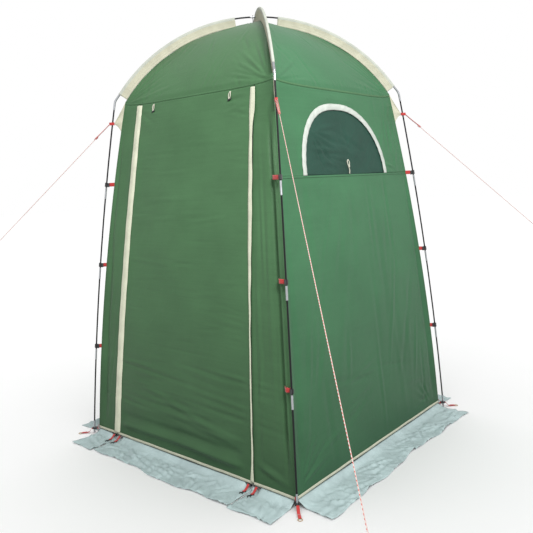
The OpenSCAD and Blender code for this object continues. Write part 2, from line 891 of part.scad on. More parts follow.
module guy_line(guy) {
    color("lightcoral") on_guy(guy) cord(guy_path(guy), guy_d / 2);
}

// Tensioner with a hole for each of the two strands
module guy_runner(guy) {
    color(BLACK) on_guy(guy) translate([guy[2] + runner_x, 0, 0])
        rotate([0, 90, 0]) rotate([0, 0, 90]) linear_extrude(runner_l) difference() {
            slot_shape(5, strand_gap);
            circle(r = guy_d / 2 + 0.6, $fn = round_fn);
            translate([strand_gap, 0]) circle(r = guy_d / 2 + 0.6, $fn = round_fn);
        }
}

module guy_line_left() { guy_line(GUY_LEFT); }
module guy_line_right() { guy_line(GUY_RIGHT); }
module guy_line_front() { guy_line(GUY_FRONT); }
module guy_runner_left() { guy_runner(GUY_LEFT); }
module guy_runner_right() { guy_runner(GUY_RIGHT); }
module guy_runner_front() { guy_runner(GUY_FRONT); }

// Ring on the left-right pole that holds the roof's apex up
tie_out = 18;

module crown_tie() {
    top = crown_h - 9;
    color(BLACK) rotate([0, 0, LEFT]) translate([tie_out, 0, 0]) {
        translate([0, 0, crown_h]) rotate([0, 90, 0])
            rotate_extrude($fn = round_fn) translate([7.4, 0]) circle(r = 1.6, $fn = 24);
        translate([0, 0, ridge_r + arch_z + 4]) cylinder(h = 10, r = 3.4, $fn = round_fn);
        translate([0, 0, ridge_r + arch_z + 14.2])
            cylinder(h = top - 0.4 - ridge_r - arch_z - 14.2, r = 1.6, $fn = round_fn);
    }
}

pole_a_rods();
pole_b_rods();
shoulder_elbows();
pole_ferrules();
pole_tips();
shock_cords();
door_panel();
front_panel_left();
front_panel_right();
left_wall();
back_wall();
window_wall_lower();
window_wall_upper();
roof_front();
roof_right();
roof_back();
roof_left();
skirt_front_left();
skirt_front_right();
door_skirt();
skirt_right();
skirt_back();
skirt_left();
hem_tape();
door_hem();
sleeve_a();
sleeve_b();
shoulder_gussets();
guy_loops();
leg_clips();
clip_webbing();
corner_rings();
corner_straps();
peg_cords();
zip_coils();
zip_covers();
zip_slider_left();
zip_slider_right();
toggle_left();
toggle_right();
toggle_loop_left();
toggle_loop_right();
window_mesh();
window_flap();
window_binding();
window_tie();
peg_tabs_door();
peg_hooks_door();
peg_tab_left();
peg_hook_left();
peg_tab_right();
peg_hook_right();
guy_line_left();
guy_line_right();
guy_line_front();
guy_runner_left();
guy_runner_right();
guy_runner_front();
crown_tie();
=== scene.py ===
"""Privacy shower tent: the finished looks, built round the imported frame. Everything is in metres."""

import json
import math

import bpy
import numpy as np
from mathutils import Matrix, Vector


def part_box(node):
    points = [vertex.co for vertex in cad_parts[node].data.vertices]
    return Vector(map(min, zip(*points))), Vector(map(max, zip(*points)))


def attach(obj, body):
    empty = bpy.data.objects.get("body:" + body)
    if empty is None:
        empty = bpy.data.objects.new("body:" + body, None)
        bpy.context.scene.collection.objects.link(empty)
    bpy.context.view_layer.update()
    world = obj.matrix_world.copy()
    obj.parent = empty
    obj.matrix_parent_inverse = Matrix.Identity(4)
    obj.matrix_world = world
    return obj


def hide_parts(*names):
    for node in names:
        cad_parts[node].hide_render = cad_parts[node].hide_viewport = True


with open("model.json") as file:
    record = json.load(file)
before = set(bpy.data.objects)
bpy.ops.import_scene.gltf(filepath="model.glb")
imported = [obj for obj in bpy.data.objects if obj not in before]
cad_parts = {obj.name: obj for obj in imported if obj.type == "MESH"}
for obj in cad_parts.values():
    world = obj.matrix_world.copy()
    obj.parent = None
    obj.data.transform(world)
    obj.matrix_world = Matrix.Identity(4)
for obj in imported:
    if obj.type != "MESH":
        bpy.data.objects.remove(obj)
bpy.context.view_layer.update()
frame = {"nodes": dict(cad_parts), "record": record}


# ---- Driving sizes ----

ROD_R = 0.004
ARCH_R = 0.920
POLE_LIFT = 0.013
ARCH_END = math.radians(52)
ELBOW_ARM = 0.080
EAVE_HALF = 0.515
LEG_R = 18.0
WALL_R = 18.0
SLEEVE_DEPTH = 0.045
FOOT_HALF = 0.725
FOOT_RING_Z = 0.028
HEM_HALF = 0.703
SHOULDER_Z = 1.830
EAVE_Z = 1.800
HINGE_Z = 1.798
WINDOW_Z = 1.397
WINDOW_HALF = 0.376
WINDOW_HIGH = 0.340
WINDOW_SHIFT = -0.020
ARCH_FULLNESS = 0.7
BINDING = 0.030
ZIP_FOOT_Z = 0.045
ZIP_LEFT_FOOT, ZIP_LEFT_LEAN = -0.533, 0.153
ZIP_RIGHT_FOOT, ZIP_RIGHT_LEAN = 0.460, -0.056
HEM_Z = 0.0315
GUY_Z = 1.717
GUY_D = 0.003
GUY_OUT = 0.0184
CLOTH = 0.0009

CROWN_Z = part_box("pole_a_rods")[1][2] - ROD_R
ARCH_Z = CROWN_Z - ARCH_R
RIDGE_R = ARCH_R - SLEEVE_DEPTH
ROOT2 = math.sqrt(2)

DOOR_SIDE = 0
WINDOW_SIDE = 90
BACK_SIDE = 180
LEFT_SIDE = 270
FRONT, RIGHT, BACK, LEFT = -45, 45, 135, 225
CORNERS = (FRONT, RIGHT, BACK, LEFT)


# ---- Curves of the frame and the cabin ----


def bow_middle(p, q, radius):
    """Middle of the circle of that radius through p and q that bows away from the tent's middle"""
    p, q = np.array(p), np.array(q)
    run = q - p
    long = np.linalg.norm(run)
    return (p + q) / 2 + math.sqrt(radius**2 - long**2 / 4) * np.array([-run[1], run[0]]) / long


def arch_radius(corner):
    """Radius of the roof arch of the pole that stands in that corner"""
    return ARCH_R + (POLE_LIFT if corner in (FRONT, BACK) else 0)


def arch_point(radius, turn):
    """[distance from the middle, height] on an arch, at a turn from the crown in radians"""
    return np.array([radius * np.sin(turn), ARCH_Z + radius * np.cos(turn)])


def leg_radial(corner, z):
    """How far the leg in a corner stands from the middle at a height"""
    radius = arch_radius(corner)
    elbow = arch_point(radius, ARCH_END) + ELBOW_ARM * np.array([math.cos(ARCH_END), -math.sin(ARCH_END)])
    middle = bow_middle([FOOT_HALF * ROOT2, 0], elbow, LEG_R)
    return middle[0] + math.sqrt(LEG_R**2 - (z - middle[1]) ** 2)


def roof_half(z):
    return np.sqrt(np.maximum(0, RIDGE_R**2 - (z - ARCH_Z) ** 2)) / ROOT2


WALL_MIDDLE = bow_middle([HEM_HALF, 0.020], [float(roof_half(SHOULDER_Z)), SHOULDER_Z], WALL_R)


def wall_half(z):
    return WALL_MIDDLE[0] + np.sqrt(WALL_R**2 - (z - WALL_MIDDLE[1]) ** 2)


def cabin_half(z):
    """Half width of the cabin at a height"""
    return np.where(z > SHOULDER_Z, roof_half(z), wall_half(z))


def zip_left(z):
    return ZIP_LEFT_FOOT + ZIP_LEFT_LEAN * (z - ZIP_FOOT_Z) / (EAVE_Z - ZIP_FOOT_Z)


def zip_right(z):
    return ZIP_RIGHT_FOOT + ZIP_RIGHT_LEAN * (z - ZIP_FOOT_Z) / (EAVE_Z - ZIP_FOOT_Z)


def hem_line(x):
    """Height of the cabin's lower edge across a wall"""
    return HEM_Z + 0.0015 * (1 - (x / HEM_HALF) ** 2) + 0.0006 * np.sin(23 * x + 1)


def eave_line(x):
    """Height of the seam between wall and roof"""
    return HINGE_Z + 0.016 * (np.abs(x) / EAVE_HALF) ** 6


# ---- Relief of slack and tense cloth ----


def no_relief(x, z):
    return 0 * x


def ramp(x, low, high):
    t = np.clip((x - low) / (high - low), 0, 1)
    return t * t * (3 - 2 * t)


def crease(x, z, middle, angle, long, wide, deep):
    """A soft fold: a ridge with a hollow on each side, along a direction given in degrees"""
    c, s = math.cos(math.radians(angle)), math.sin(math.radians(angle))
    along = ((x - middle[0]) * c + (z - middle[1]) * s) / long
    across = ((z - middle[1]) * c - (x - middle[0]) * s) / wide
    return deep * np.exp(-(along**2) - across**2 / 2) * (1 - across**2)


def creases(x, z, seed, count, area, angle, spread, long, wide, deep):
    """Folds scattered over area = (x0, x1, z0, z1), with sizes given as (least, most) in millimetres"""
    rng = np.random.default_rng(seed)
    total = np.zeros_like(x * z)
    for _ in range(count):
        middle = rng.uniform([area[0], area[2]], [area[1], area[3]])
        turn = angle + rng.normal(0, spread)
        sign = rng.choice([-1, 1])
        sizes = [rng.uniform(*size) / 1000 for size in (long, wide, deep)]
        total += sign * crease(x, z, middle, turn, *sizes)
    return total


def fan(x, z, seed, point, first, last, count, reach, wide, deep):
    """Tension folds that leave a point between two directions in degrees, widening as they go"""
    rng = np.random.default_rng(seed)
    total = np.zeros_like(x * z)
    for i in range(count):
        turn = math.radians(first + (last - first) * (i + rng.uniform(-0.3, 0.3)) / max(1, count - 1))
        along = (x - point[0]) * math.cos(turn) + (z - point[1]) * math.sin(turn)
        across = (z - point[1]) * math.cos(turn) - (x - point[0]) * math.sin(turn)
        length = reach * rng.uniform(0.6, 1)
        width = wide * (0.5 + np.maximum(along, 0) / reach)
        height = deep * ramp(along, 0, 0.15 * reach) * (1 - ramp(along, 0.35 * length, length))
        t = across / width
        total += rng.choice([-1, 1]) * height * (1 - t**2) * np.exp(-(t**2) / 2)
    return total


def swell(x, z, seed, wave, deep):
    """Broad unevenness made of a few long waves"""
    rng = np.random.default_rng(seed)
    total = np.zeros_like(x * z)
    for _ in range(6):
        turn = rng.uniform(0, math.pi)
        size = wave * rng.uniform(0.7, 1.6)
        phase = rng.uniform(0, 2 * math.pi)
        total += np.sin(2 * math.pi * (x * math.cos(turn) + z * math.sin(turn)) / size + phase)
    return deep * total / 6


def corner_fold(x, z, share):
    """The slack upright fold beside a corner seam"""
    edge = cabin_half(z) - np.abs(x)
    width = 0.020 + 0.026 * ramp(1.75 - z, 0, 1.4)
    deep = share * width * ramp(z, 0.04, 0.25) * ramp(1.72 - z, 0, 0.25)
    return -deep * np.exp(-(((edge / width - 1) / 0.45) ** 2))


def corner_roll(x, z):
    """The slack upright roll of cloth beside the front corner, with the hollow next to it"""
    edge = cabin_half(z) - np.abs(x)
    high = 0.012 * ramp(z, 0.05, 0.35) * ramp(1.72 - z, 0, 0.25)
    return high * (np.exp(-(((edge - 0.015) / 0.009) ** 2)) - 1.1 * np.exp(-(((edge - 0.039) / 0.009) ** 2)))


def edges_still(x, z, value, low=0.05, high=EAVE_Z):
    """Fades a relief out towards the hem, the eave and the corners"""
    side = ramp(cabin_half(z) - np.abs(x), 0, 0.05)
    return value * side * ramp(z, low - 0.02, low + 0.06) * ramp(high - z, 0, 0.05)


def zips_still(x, z, value):
    """Fades a relief out beside the zips"""
    near = np.minimum(np.abs(x - zip_left(z)), np.abs(x - zip_right(z)))
    return value * (0.12 + 0.88 * ramp(near, 0.008, 0.07))


# Rows of creases: seed, count, area, angle, spread, and sizes in millimetres
FRONT_CREASES = (
    (5, 46, (-0.5, 0.4, 0.25, 1.6), 1, 5, (60, 200), (6, 12), (0.6, 1.6)),
    (6, 16, (-0.5, 0.4, 0.16, 0.5), -2, 5, (140, 300), (10, 18), (2, 3.6)),
    (7, 12, (0.45, 0.66, 0.2, 1.6), 92, 4, (150, 500), (9, 18), (1.2, 2.6)),
    (8, 8, (-0.68, -0.56, 0.2, 1.6), 84, 4, (150, 500), (9, 18), (1.2, 2.4)),
    (9, 12, (0.24, 0.38, 1.66, 1.78), 3, 10, (30, 70), (6, 10), (1, 2.2)),
)


def front_relief(x, z):
    door = ramp(x, -0.53, -0.44) * ramp(0.42 - x, 0, 0.09)
    relief = swell(x, z, 3, 0.55, 0.006)
    for row in FRONT_CREASES:
        relief += creases(x, z, *row)
    relief += fan(x, z, 10, (-0.43, 1.79), -50, -15, 4, 0.30, 0.010, 0.0022)
    relief += crease(x, z, (0.57, 0.105), -16, 0.09, 0.016, 0.006)
    relief = edges_still(x, z, relief)
    ridge_z = 0.100 + 0.006 * np.sin(5 * x + 2)
    slack = 0.015 * np.exp(-(((z - ridge_z) / 0.017) ** 2)) - 0.008 * np.exp(-(((z - 0.150) / 0.020) ** 2))
    slack += 0.006 * np.exp(-(((z - 0.205) / 0.018) ** 2)) * (0.5 + 0.5 * np.sin(7 * x))
    relief += slack * door * (0.75 + 0.25 * np.sin(4 * x + 1))
    return zips_still(x, z, relief) + np.where(x > 0, corner_roll(x, z), corner_fold(x, z, 0.25))


def window_arch(x, z, grow=0.0):
    """Size of the window's arch through a point, over that of the arch grown by a distance"""
    across = (x - WINDOW_SHIFT) / (WINDOW_HALF + grow)
    up = (z - WINDOW_Z) / (WINDOW_HIGH + grow)
    power = np.where(across < 0, 2 / ARCH_FULLNESS, 2.0)
    low, high = 0 * across * up, 0 * across * up + 8.0
    for _ in range(30):
        middle = (low + high) / 2
        outside = (np.abs(across) / middle) ** power + (up / middle) ** 2 > 1
        low, high = np.where(outside, middle, low), np.where(outside, high, middle)
    return (low + high) / 2


def arch_across(t):
    """Distance sideways on the window's arch at a turn, over its half width: fuller on the door's side"""
    c = np.cos(t)
    return np.where(c < 0, -(np.abs(c) ** ARCH_FULLNESS), c)


WINDOW_CREASES = (
    (14, 26, (-0.6, 0.6, 0.2, 1.3), 84, 9, (100, 360), (12, 26), (1, 2.8)),
    (15, 10, (-0.6, 0.6, 0.1, 0.45), 10, 14, (80, 200), (10, 20), (1, 2.6)),
    (16, 12, (0.28, 0.50, 1.50, 1.78), 74, 14, (50, 120), (9, 16), (1, 2.4)),
)


def window_relief(x, z):
    relief = swell(x, z, 13, 0.7, 0.007)
    for row in WINDOW_CREASES:
        relief += creases(x, z, *row)
    relief += crease(x, z, (0.405, 1.435), -14, 0.035, 0.007, 0.005)
    relief += crease(x, z, (-0.27, 1.365), 28, 0.03, 0.007, -0.004)
    relief += fan(x, z, 17, (0.60, 0.07), 120, 165, 4, 0.34, 0.012, 0.003)
    relief += fan(x, z, 18, (-0.66, 0.07), 20, 70, 4, 0.34, 0.012, 0.003)
    still = ramp(window_arch(x, z), 0.96, 1.10) * ramp(z, WINDOW_Z - 0.02, WINDOW_Z)
    calm = 1 - ramp(z, WINDOW_Z - 0.10, WINDOW_Z - 0.004) * 0.8
    relief = edges_still(x, z, relief * np.where(z > WINDOW_Z, np.maximum(still, 0.0), calm))
    return relief + corner_fold(x, z, 0.20) * (0.3 + 0.7 * ramp(WINDOW_Z - z, -0.05, 0.1))


def plain_relief(seed):
    """Relief of a wall with no opening"""

    def relief(x, z):
        area = (-0.6, 0.6, 0.15, 1.65)
        total = swell(x, z, seed, 0.6, 0.008)
        total += creases(x, z, seed + 1, 30, area, 86, 10, (100, 340), (12, 24), (1, 3))
        total += creases(x, z, seed + 2, 16, area, 4, 14, (60, 180), (8, 16), (1, 2.2))
        total += fan(x, z, seed + 3, (0.50, 1.78), 200, 250, 5, 0.36, 0.011, 0.003)
        total += fan(x, z, seed + 4, (-0.50, 1.78), -70, -20, 5, 0.36, 0.011, 0.003)
        return edges_still(x, z, total) + corner_fold(x, z, 0.22)

    return relief


def roof_relief(seed, lively):
    """Relief of a roof gore, over the distance across it and the distance up from its eave"""

    def relief(x, s):
        total = swell(x, s, seed, 0.45, 0.005)
        total += fan(x, s, seed + 1, (0.50, 0.01), 112, 168, 6, 0.52, 0.010, 0.0034 * lively)
        total += fan(x, s, seed + 2, (-0.50, 0.01), 12, 66, 5, 0.46, 0.010, 0.0026 * lively)
        total += fan(x, s, seed + 3, (0.02, 0.80), 236, 300, 6, 0.34, 0.008, 0.0022 * lively)
        area = (-0.35, 0.35, 0.05, 0.45)
        total += creases(x, s, seed + 4, 12, area, 96, 24, (40, 120), (7, 14), (0.8, 2))
        total += creases(x, s, seed + 5, 9, (-0.45, 0.45, 0.015, 0.05), 90, 16, (20, 50), (6, 10), (0.8, 1.8))
        ridge = np.maximum(0, 0.505 * np.cos(s / 0.79 * math.pi / 2) - np.abs(x))
        return total * ramp(ridge, 0.0, 0.05) * ramp(s, 0, 0.03)

    return relief


# ---- Mesh building ----


def mm(points):
    """Points given in millimetres"""
    return np.array(points, float) / 1000


def stacked(*parts):
    """Arrays of coordinates put together as points"""
    return np.stack(parts, axis=-1)


def turned(side, x, out, z):
    """Points given in a wall's own axes, carried round to that side of the tent"""
    c, s = math.cos(math.radians(side)), math.sin(math.radians(side))
    return stacked(x * c + out * s, x * s - out * c, z + 0 * x)


def corner_points(corner, radial, z, side=0.0):
    """Points of a corner's upright plane, pushed sideways out of it"""
    turn = math.radians(corner)
    x = radial * math.cos(turn) - side * math.sin(turn)
    y = radial * math.sin(turn) + side * math.cos(turn)
    return stacked(x, y, z + 0 * x)


def grid_normals(points):
    """Unit normals of a grid of points, up the rows and along the columns"""
    normal = np.cross(np.gradient(points, axis=1), np.gradient(points, axis=0))
    return normal / np.maximum(np.linalg.norm(normal, axis=-1, keepdims=True), 1e-12)


def quads_of(rows, columns):
    i, j = np.meshgrid(np.arange(rows - 1), np.arange(columns - 1), indexing="ij")
    a = (i * columns + j).ravel()
    return np.stack([a, a + 1, a + columns + 1, a + columns], axis=1)


class Cloth:
    """Collects patches of cloth, then makes one closed mesh of them, with a thickness to the inside"""

    def __init__(self, thickness=CLOTH):
        self.thickness = thickness
        self.points = []
        self.quads = []
        self.uvs = []
        self.slots = []
        self.count = 0

    def patch(self, points, uv, keep=None, slot=0):
        """Adds a grid of points with its flat coordinates in metres; keep says which quads stay"""
        rows, columns = points.shape[:2]
        quads = quads_of(rows, columns)
        if keep is not None:
            quads = quads[keep.ravel()]
        used, quads = np.unique(quads, return_inverse=True)
        self.points.append(points.reshape(-1, 3)[used])
        self.uvs.append(uv.reshape(-1, 2)[used])
        self.quads.append(quads.reshape(-1, 4) + self.count)
        self.slots.append(np.full(len(self.quads[-1]), slot))
        self.count += len(used)
        return self

    def build(self, name, *materials):
        points = np.concatenate(self.points)
        quads = np.concatenate(self.quads)
        uvs = np.concatenate(self.uvs)
        slots = np.concatenate(self.slots)
        total = len(points)
        corner = points[quads]
        face_normals = np.cross(corner[:, 2] - corner[:, 0], corner[:, 3] - corner[:, 1])
        normals = np.zeros_like(points)
        for k in range(4):
            np.add.at(normals, quads[:, k], face_normals)
        normals /= np.maximum(np.linalg.norm(normals, axis=1, keepdims=True), 1e-12)
        edges = np.concatenate([quads[:, [k, (k + 1) % 4]] for k in range(4)])
        owner = np.tile(np.arange(len(quads)), 4)
        forward = edges[:, 0] * total + edges[:, 1]
        backward = edges[:, 1] * total + edges[:, 0]
        rim = ~np.isin(forward, backward)
        a, b = edges[rim].T
        sides = np.stack([b, a, a + total, b + total], axis=1)
        faces = np.concatenate([quads, quads[:, ::-1] + total, sides])
        face_slots = np.concatenate([slots, slots, slots[owner[rim]]])
        both = np.concatenate([points, points - normals * self.thickness])
        smooth = np.arange(len(faces)) < 2 * len(quads)
        flat = uvs[quads]
        across, along = flat[:, 2] - flat[:, 0], flat[:, 3] - flat[:, 1]
        self.area = float(np.abs(across[:, 0] * along[:, 1] - across[:, 1] * along[:, 0]).sum() / 2)
        return make_mesh(name, both, faces, materials, np.concatenate([uvs, uvs]), face_slots, smooth)


def put_in_scene(thing):
    bpy.context.scene.collection.objects.link(thing)


def make_mesh(name, points, faces, materials, uvs=None, slots=None, smooth=True):
    mesh = bpy.data.meshes.new(name)
    mesh.from_pydata(points.tolist(), [], [list(map(int, face)) for face in faces])
    count = len(mesh.polygons)
    mesh.polygons.foreach_set("use_smooth", np.broadcast_to(smooth, count).astype(bool))
    if slots is not None:
        mesh.polygons.foreach_set("material_index", slots.astype(np.int32))
    if uvs is not None:
        corners = np.zeros(len(mesh.loops), np.int32)
        mesh.loops.foreach_get("vertex_index", corners)
        layer = mesh.uv_layers.new(name="cloth")
        layer.data.foreach_set("uv", uvs[corners].astype(np.float32).ravel())
    for material in materials:
        mesh.materials.append(material)
    mesh.update()
    piece = bpy.data.objects.new(name, mesh)
    put_in_scene(piece)
    return piece


def wall_grid(side, ends, bottom, top, columns, rows, relief, out=0.0):
    """A stretch of wall between its ends, two lines x(z), and two lines z(x); out may vary across it"""
    left, right = ends
    u = np.linspace(0, 1, columns)[None, :]
    v = np.linspace(0, 1, rows)[:, None]
    z = bottom(0 * u) + (top(0 * u) - bottom(0 * u)) * v + 0 * u
    for _ in range(3):
        x = left(z) + (right(z) - left(z)) * u
        z = bottom(x) + (top(x) - bottom(x)) * v
    base = turned(side, x, cabin_half(z), z)
    offset = relief(x, z) + (out(u, v) if callable(out) else out)
    return base + grid_normals(base) * offset[..., None], stacked(x, z)


def path_frames(path):
    """Two directions across a path all along it, which turn as little as they can"""
    along = np.gradient(path, axis=0)
    along /= np.linalg.norm(along, axis=1, keepdims=True)
    first = np.array([1.0, 0.0, 0.0]) if abs(along[0][2]) > 0.9 else np.array([0.0, 0.0, 1.0])
    across = []
    for direction in along:
        first = first - direction * first.dot(direction)
        first = first / np.linalg.norm(first)
        across.append(first)
    return np.array(across), np.cross(along, across)


def run_of(path):
    """Length run through at each point of a path"""
    return np.concatenate([[0], np.cumsum(np.linalg.norm(np.diff(path, axis=0), axis=1))])


def tube_parts(path, radius, sides):
    """A round tube along points, with flat coordinates that run along it in metres"""
    across, other = path_frames(path)
    turn = 2 * math.pi * np.arange(sides) / sides
    ring = across[:, None, :] * np.cos(turn)[None, :, None] + other[:, None, :] * np.sin(turn)[None, :, None]
    points = (path[:, None, :] + radius * ring).reshape(-1, 3)
    uvs = np.stack(np.meshgrid(run_of(path), turn * radius, indexing="ij"), axis=-1).reshape(-1, 2)
    faces = []
    for i in range(len(path) - 1):
        for k in range(sides):
            a, b = i * sides + k, i * sides + (k + 1) % sides
            faces.append([a, b, b + sides, a + sides])
    faces.append(list(range(sides))[::-1])
    faces.append([(len(path) - 1) * sides + k for k in range(sides)])
    return points, faces, uvs


def strap_patch(cloth, path, wide_way, width):
    """Adds a flat strap along a path to a Cloth, width across the direction wide_way"""
    path = np.asarray(path, float)
    offsets = np.linspace(-width / 2, width / 2, 5)
    points = path[:, None, :] + offsets[None, :, None] * np.asarray(wide_way, float)
    uv = np.stack(np.meshgrid(run_of(path), offsets, indexing="ij"), axis=-1)
    cloth.patch(points, uv[..., ::-1])


def tubes(name, paths, radius, material, sides=8):
    """One or several tubes in one piece"""
    all_points, all_faces, all_uvs, start = [], [], [], 0
    for path in paths:
        points, faces, uvs = tube_parts(np.asarray(path, float), radius, sides)
        all_points.append(points)
        all_uvs.append(uvs)
        all_faces += [[index + start for index in face] for face in faces]
        start += len(points)
    return make_mesh(name, np.concatenate(all_points), all_faces, [material], np.concatenate(all_uvs))


def smooth_path(points, steps):
    """A Catmull-Rom curve through given points"""
    points = np.asarray(points, float)
    ends = np.concatenate([[2 * points[0] - points[1]], points, [2 * points[-1] - points[-2]]])
    curve = []
    for i in range(1, len(ends) - 2):
        p0, p1, p2, p3 = ends[i - 1 : i + 3]
        for t in np.linspace(0, 1, steps, endpoint=False):
            curve.append(0.5 * (2 * p1 + (p2 - p0) * t + (2 * p0 - 5 * p1 + 4 * p2 - p3) * t**2
                                + (3 * p1 - p0 - 3 * p2 + p3) * t**3))
    curve.append(points[-1])
    return np.array(curve)


# ---- Materials ----


class Look:
    """A material in the making: its nodes and the links between them"""

    def __init__(self, name, colour, rough, metal=0.0, specular=0.5):
        self.material = bpy.data.materials.new(name)
        self.material.use_nodes = True
        self.material.diffuse_color = (*colour, 1)
        self.tree = self.material.node_tree
        self.shader = self.tree.nodes["Principled BSDF"]
        self.set("Base Color", (*colour, 1))
        self.set("Roughness", rough)
        self.set("Metallic", metal)
        self.set("Specular IOR Level", specular)
        self.height = None

    def set(self, socket, value):
        """Fixes a value of the main shader"""
        self.shader.inputs[socket].default_value = value

    def add(self, kind, inputs=(), **settings):
        node = self.tree.nodes.new("ShaderNode" + kind)
        for key, value in settings.items():
            setattr(node, key, value)
        for socket, value in dict(inputs).items():
            if isinstance(value, bpy.types.NodeSocket):
                self.tree.links.new(value, node.inputs[socket])
            else:
                node.inputs[socket].default_value = value
        return node

    def drive(self, socket, source):
        """Lets a source set a value of the main shader"""
        self.tree.links.new(source, self.shader.inputs[socket])

    def flat(self):
        """The piece's own flat coordinates, in metres"""
        return self.add("UVMap", uv_map="cloth").outputs["UV"]

    def solid(self):
        """Coordinates in the object's space, in metres"""
        return self.add("TexCoord").outputs["Object"]

    def axes(self, where):
        return self.add("SeparateXYZ", {"Vector": where}).outputs

    def math(self, kind, a, b=0.0, c=0.0):
        return self.add("Math", {0: a, 1: b, 2: c}, operation=kind).outputs[0]

    def times(self, a, b):
        return self.math("MULTIPLY", a, b)

    def noise(self, where, scale, detail=3.0, rough=0.5, warp=0.0):
        settings = {"Vector": where, "Scale": scale, "Detail": detail, "Roughness": rough, "Distortion": warp}
        return self.add("TexNoise", settings).outputs["Fac"]

    def streaks(self, where, stretch, scale, detail):
        """Noise drawn out along one direction"""
        return self.noise(self.add("Mapping", {"Vector": where, "Scale": stretch}).outputs[0], scale, detail)

    def bump(self, height, distance, strength=1.0):
        """Adds a layer of bump, over what is there already"""
        inputs = {"Height": height, "Distance": distance, "Strength": strength}
        if self.height is not None:
            inputs["Normal"] = self.height
        self.height = self.add("Bump", inputs).outputs["Normal"]
        self.drive("Normal", self.height)

    def blend(self, amount, dark, light):
        """A colour between two, by an amount from 0 to 1"""
        dark, light = ((*part, 1) if isinstance(part, tuple) else part for part in (dark, light))
        return self.add("Mix", {0: amount, 6: dark, 7: light}, data_type="RGBA").outputs[2]

    def span(self, value, low, high, to_low=0.0, to_high=1.0):
        inputs = {"Value": value, "From Min": low, "From Max": high, "To Min": to_low, "To Max": to_high}
        return self.add("MapRange", inputs, clamp=True).outputs["Result"]

    def varied(self, value, low, high, colour, dark, light):
        """A colour made darker or lighter by a value between two limits"""
        return self.blend(self.span(value, low, high), shade(colour, dark), shade(colour, light))

    def threads(self, where, pitch, bands=("X", "Y")):
        """Crossing threads of a plain weave, as a height"""
        inputs = {"Vector": where, "Scale": 2 * math.pi / (20 * pitch)}
        waves = [self.add("TexWave", inputs, bands_direction=band).outputs["Fac"] for band in bands]
        return self.times(*waves)

    def see_through(self, share, colour):
        """Lets some light through the cloth, with its bump"""
        glow = self.add("BsdfTranslucent", {"Color": (*colour, 1), "Normal": self.height})
        mix = self.add("MixShader", {0: share, 1: self.shader.outputs[0], 2: glow.outputs[0]})
        self.tree.links.new(mix.outputs[0], self.tree.nodes["Material Output"].inputs["Surface"])


def shade(colour, by):
    return tuple(min(1.0, part * by) for part in colour)


def taffeta(name, colour, rough=0.42, crumple=0.0016, glow=0.10):
    """Thin coated polyester: a fine weave, faint mottling and small creases, with painted shade that darkens
    it towards the bottom
    """
    look = Look(name, colour, rough, specular=0.14)
    flat = look.flat()
    mottle = look.noise(flat, 3.5, 4.0, 0.55)
    weft = look.streaks(flat, (1, 30, 1), 4, 2.0)
    tone = look.math("ADD", look.times(mottle, 0.75), look.times(weft, 0.25))
    body = look.varied(tone, 0.3, 0.7, colour, 0.86, 1.14)
    # Painted shade: the colour is darker towards the bottom and reaches full colour 1.25 m up
    height = look.axes(look.solid())[2]
    painted_shade_low = look.varied(tone, 0.3, 0.7, colour, 0.54, 0.72)
    body = look.blend(look.span(height, 0.0, 1.25), painted_shade_low, body)
    look.drive("Base Color", body)
    look.drive("Roughness", look.span(mottle, 0.3, 0.7, rough - 0.05, rough + 0.08))
    look.bump(look.noise(flat, 22, 5.0, 0.6, 0.6), crumple)
    look.bump(look.threads(flat, 0.0012), 0.00012, 0.6)
    look.set("Sheen Weight", 0.05)
    look.set("Sheen Roughness", 0.4)
    look.see_through(glow, shade(colour, 1.3))
    return look.material


def ground_cloth(name, colour):
    """Coated skirt cloth, more crumpled, in patchy tones"""
    look = Look(name, colour, 0.5, specular=0.35)
    flat = look.flat()
    patches = look.noise(flat, 9, 5.0, 0.6, 0.4)
    body = look.varied(patches, 0.35, 0.68, colour, 0.86, 1.10)
    look.drive("Base Color", body)
    look.bump(look.noise(flat, 14, 6.0, 0.62, 1.2), 0.006)
    look.bump(look.noise(flat, 48, 4.0, 0.6, 0.8), 0.0012)
    look.bump(look.threads(flat, 0.0012), 0.00012, 0.5)
    look.see_through(0.06, colour)
    return look.material


STITCH = 0.0042


def tape(name, colour, width, pitch=0.0011, glow=0.08):
    """Woven tape with a line of stitches near each edge; its second flat coordinate runs across it"""
    look = Look(name, colour, 0.72, specular=0.25)
    flat = look.flat()
    across, along, _ = look.axes(flat)
    edge = look.math("ABSOLUTE", look.math("SUBTRACT", look.math("ABSOLUTE", across), width / 2 - 0.0025))
    row = look.math("LESS_THAN", edge, 0.0006)
    dash = look.math("LESS_THAN", look.math("FRACT", look.times(along, 1 / STITCH)), 0.62)
    stitch = look.times(row, dash)
    mottle = look.noise(flat, 16, 4.0)
    body = look.varied(mottle, 0.3, 0.7, colour, 0.88, 1.06)
    body = look.blend(look.times(stitch, 0.35), body, shade(colour, 0.6))
    look.drive("Base Color", body)
    look.bump(look.noise(flat, 60, 3.0), 0.0006)
    look.bump(look.threads(flat, pitch), 0.00025)
    look.bump(stitch, 0.0004)
    look.see_through(glow, colour)
    return look.material


def webbing(name, colour):
    """Thick ribbed webbing"""
    look = Look(name, colour, 0.62, specular=0.3)
    solid = look.solid()
    fuzz = look.noise(solid, 380, 3.0)
    ribs = look.threads(solid, 0.0024, ("Z", "DIAGONAL"))
    # Painted shade in the grooves between the ribs, with a random fuzz tone over it
    rib_shade = look.times(ribs, look.span(fuzz, 0.2, 0.8, 0.6, 1))
    body = look.blend(rib_shade, shade(colour, 0.62), colour)
    look.drive("Base Color", body)
    look.bump(ribs, 0.0005)
    look.bump(fuzz, 0.0003)
    look.set("Sheen Weight", 0.3)
    return look.material


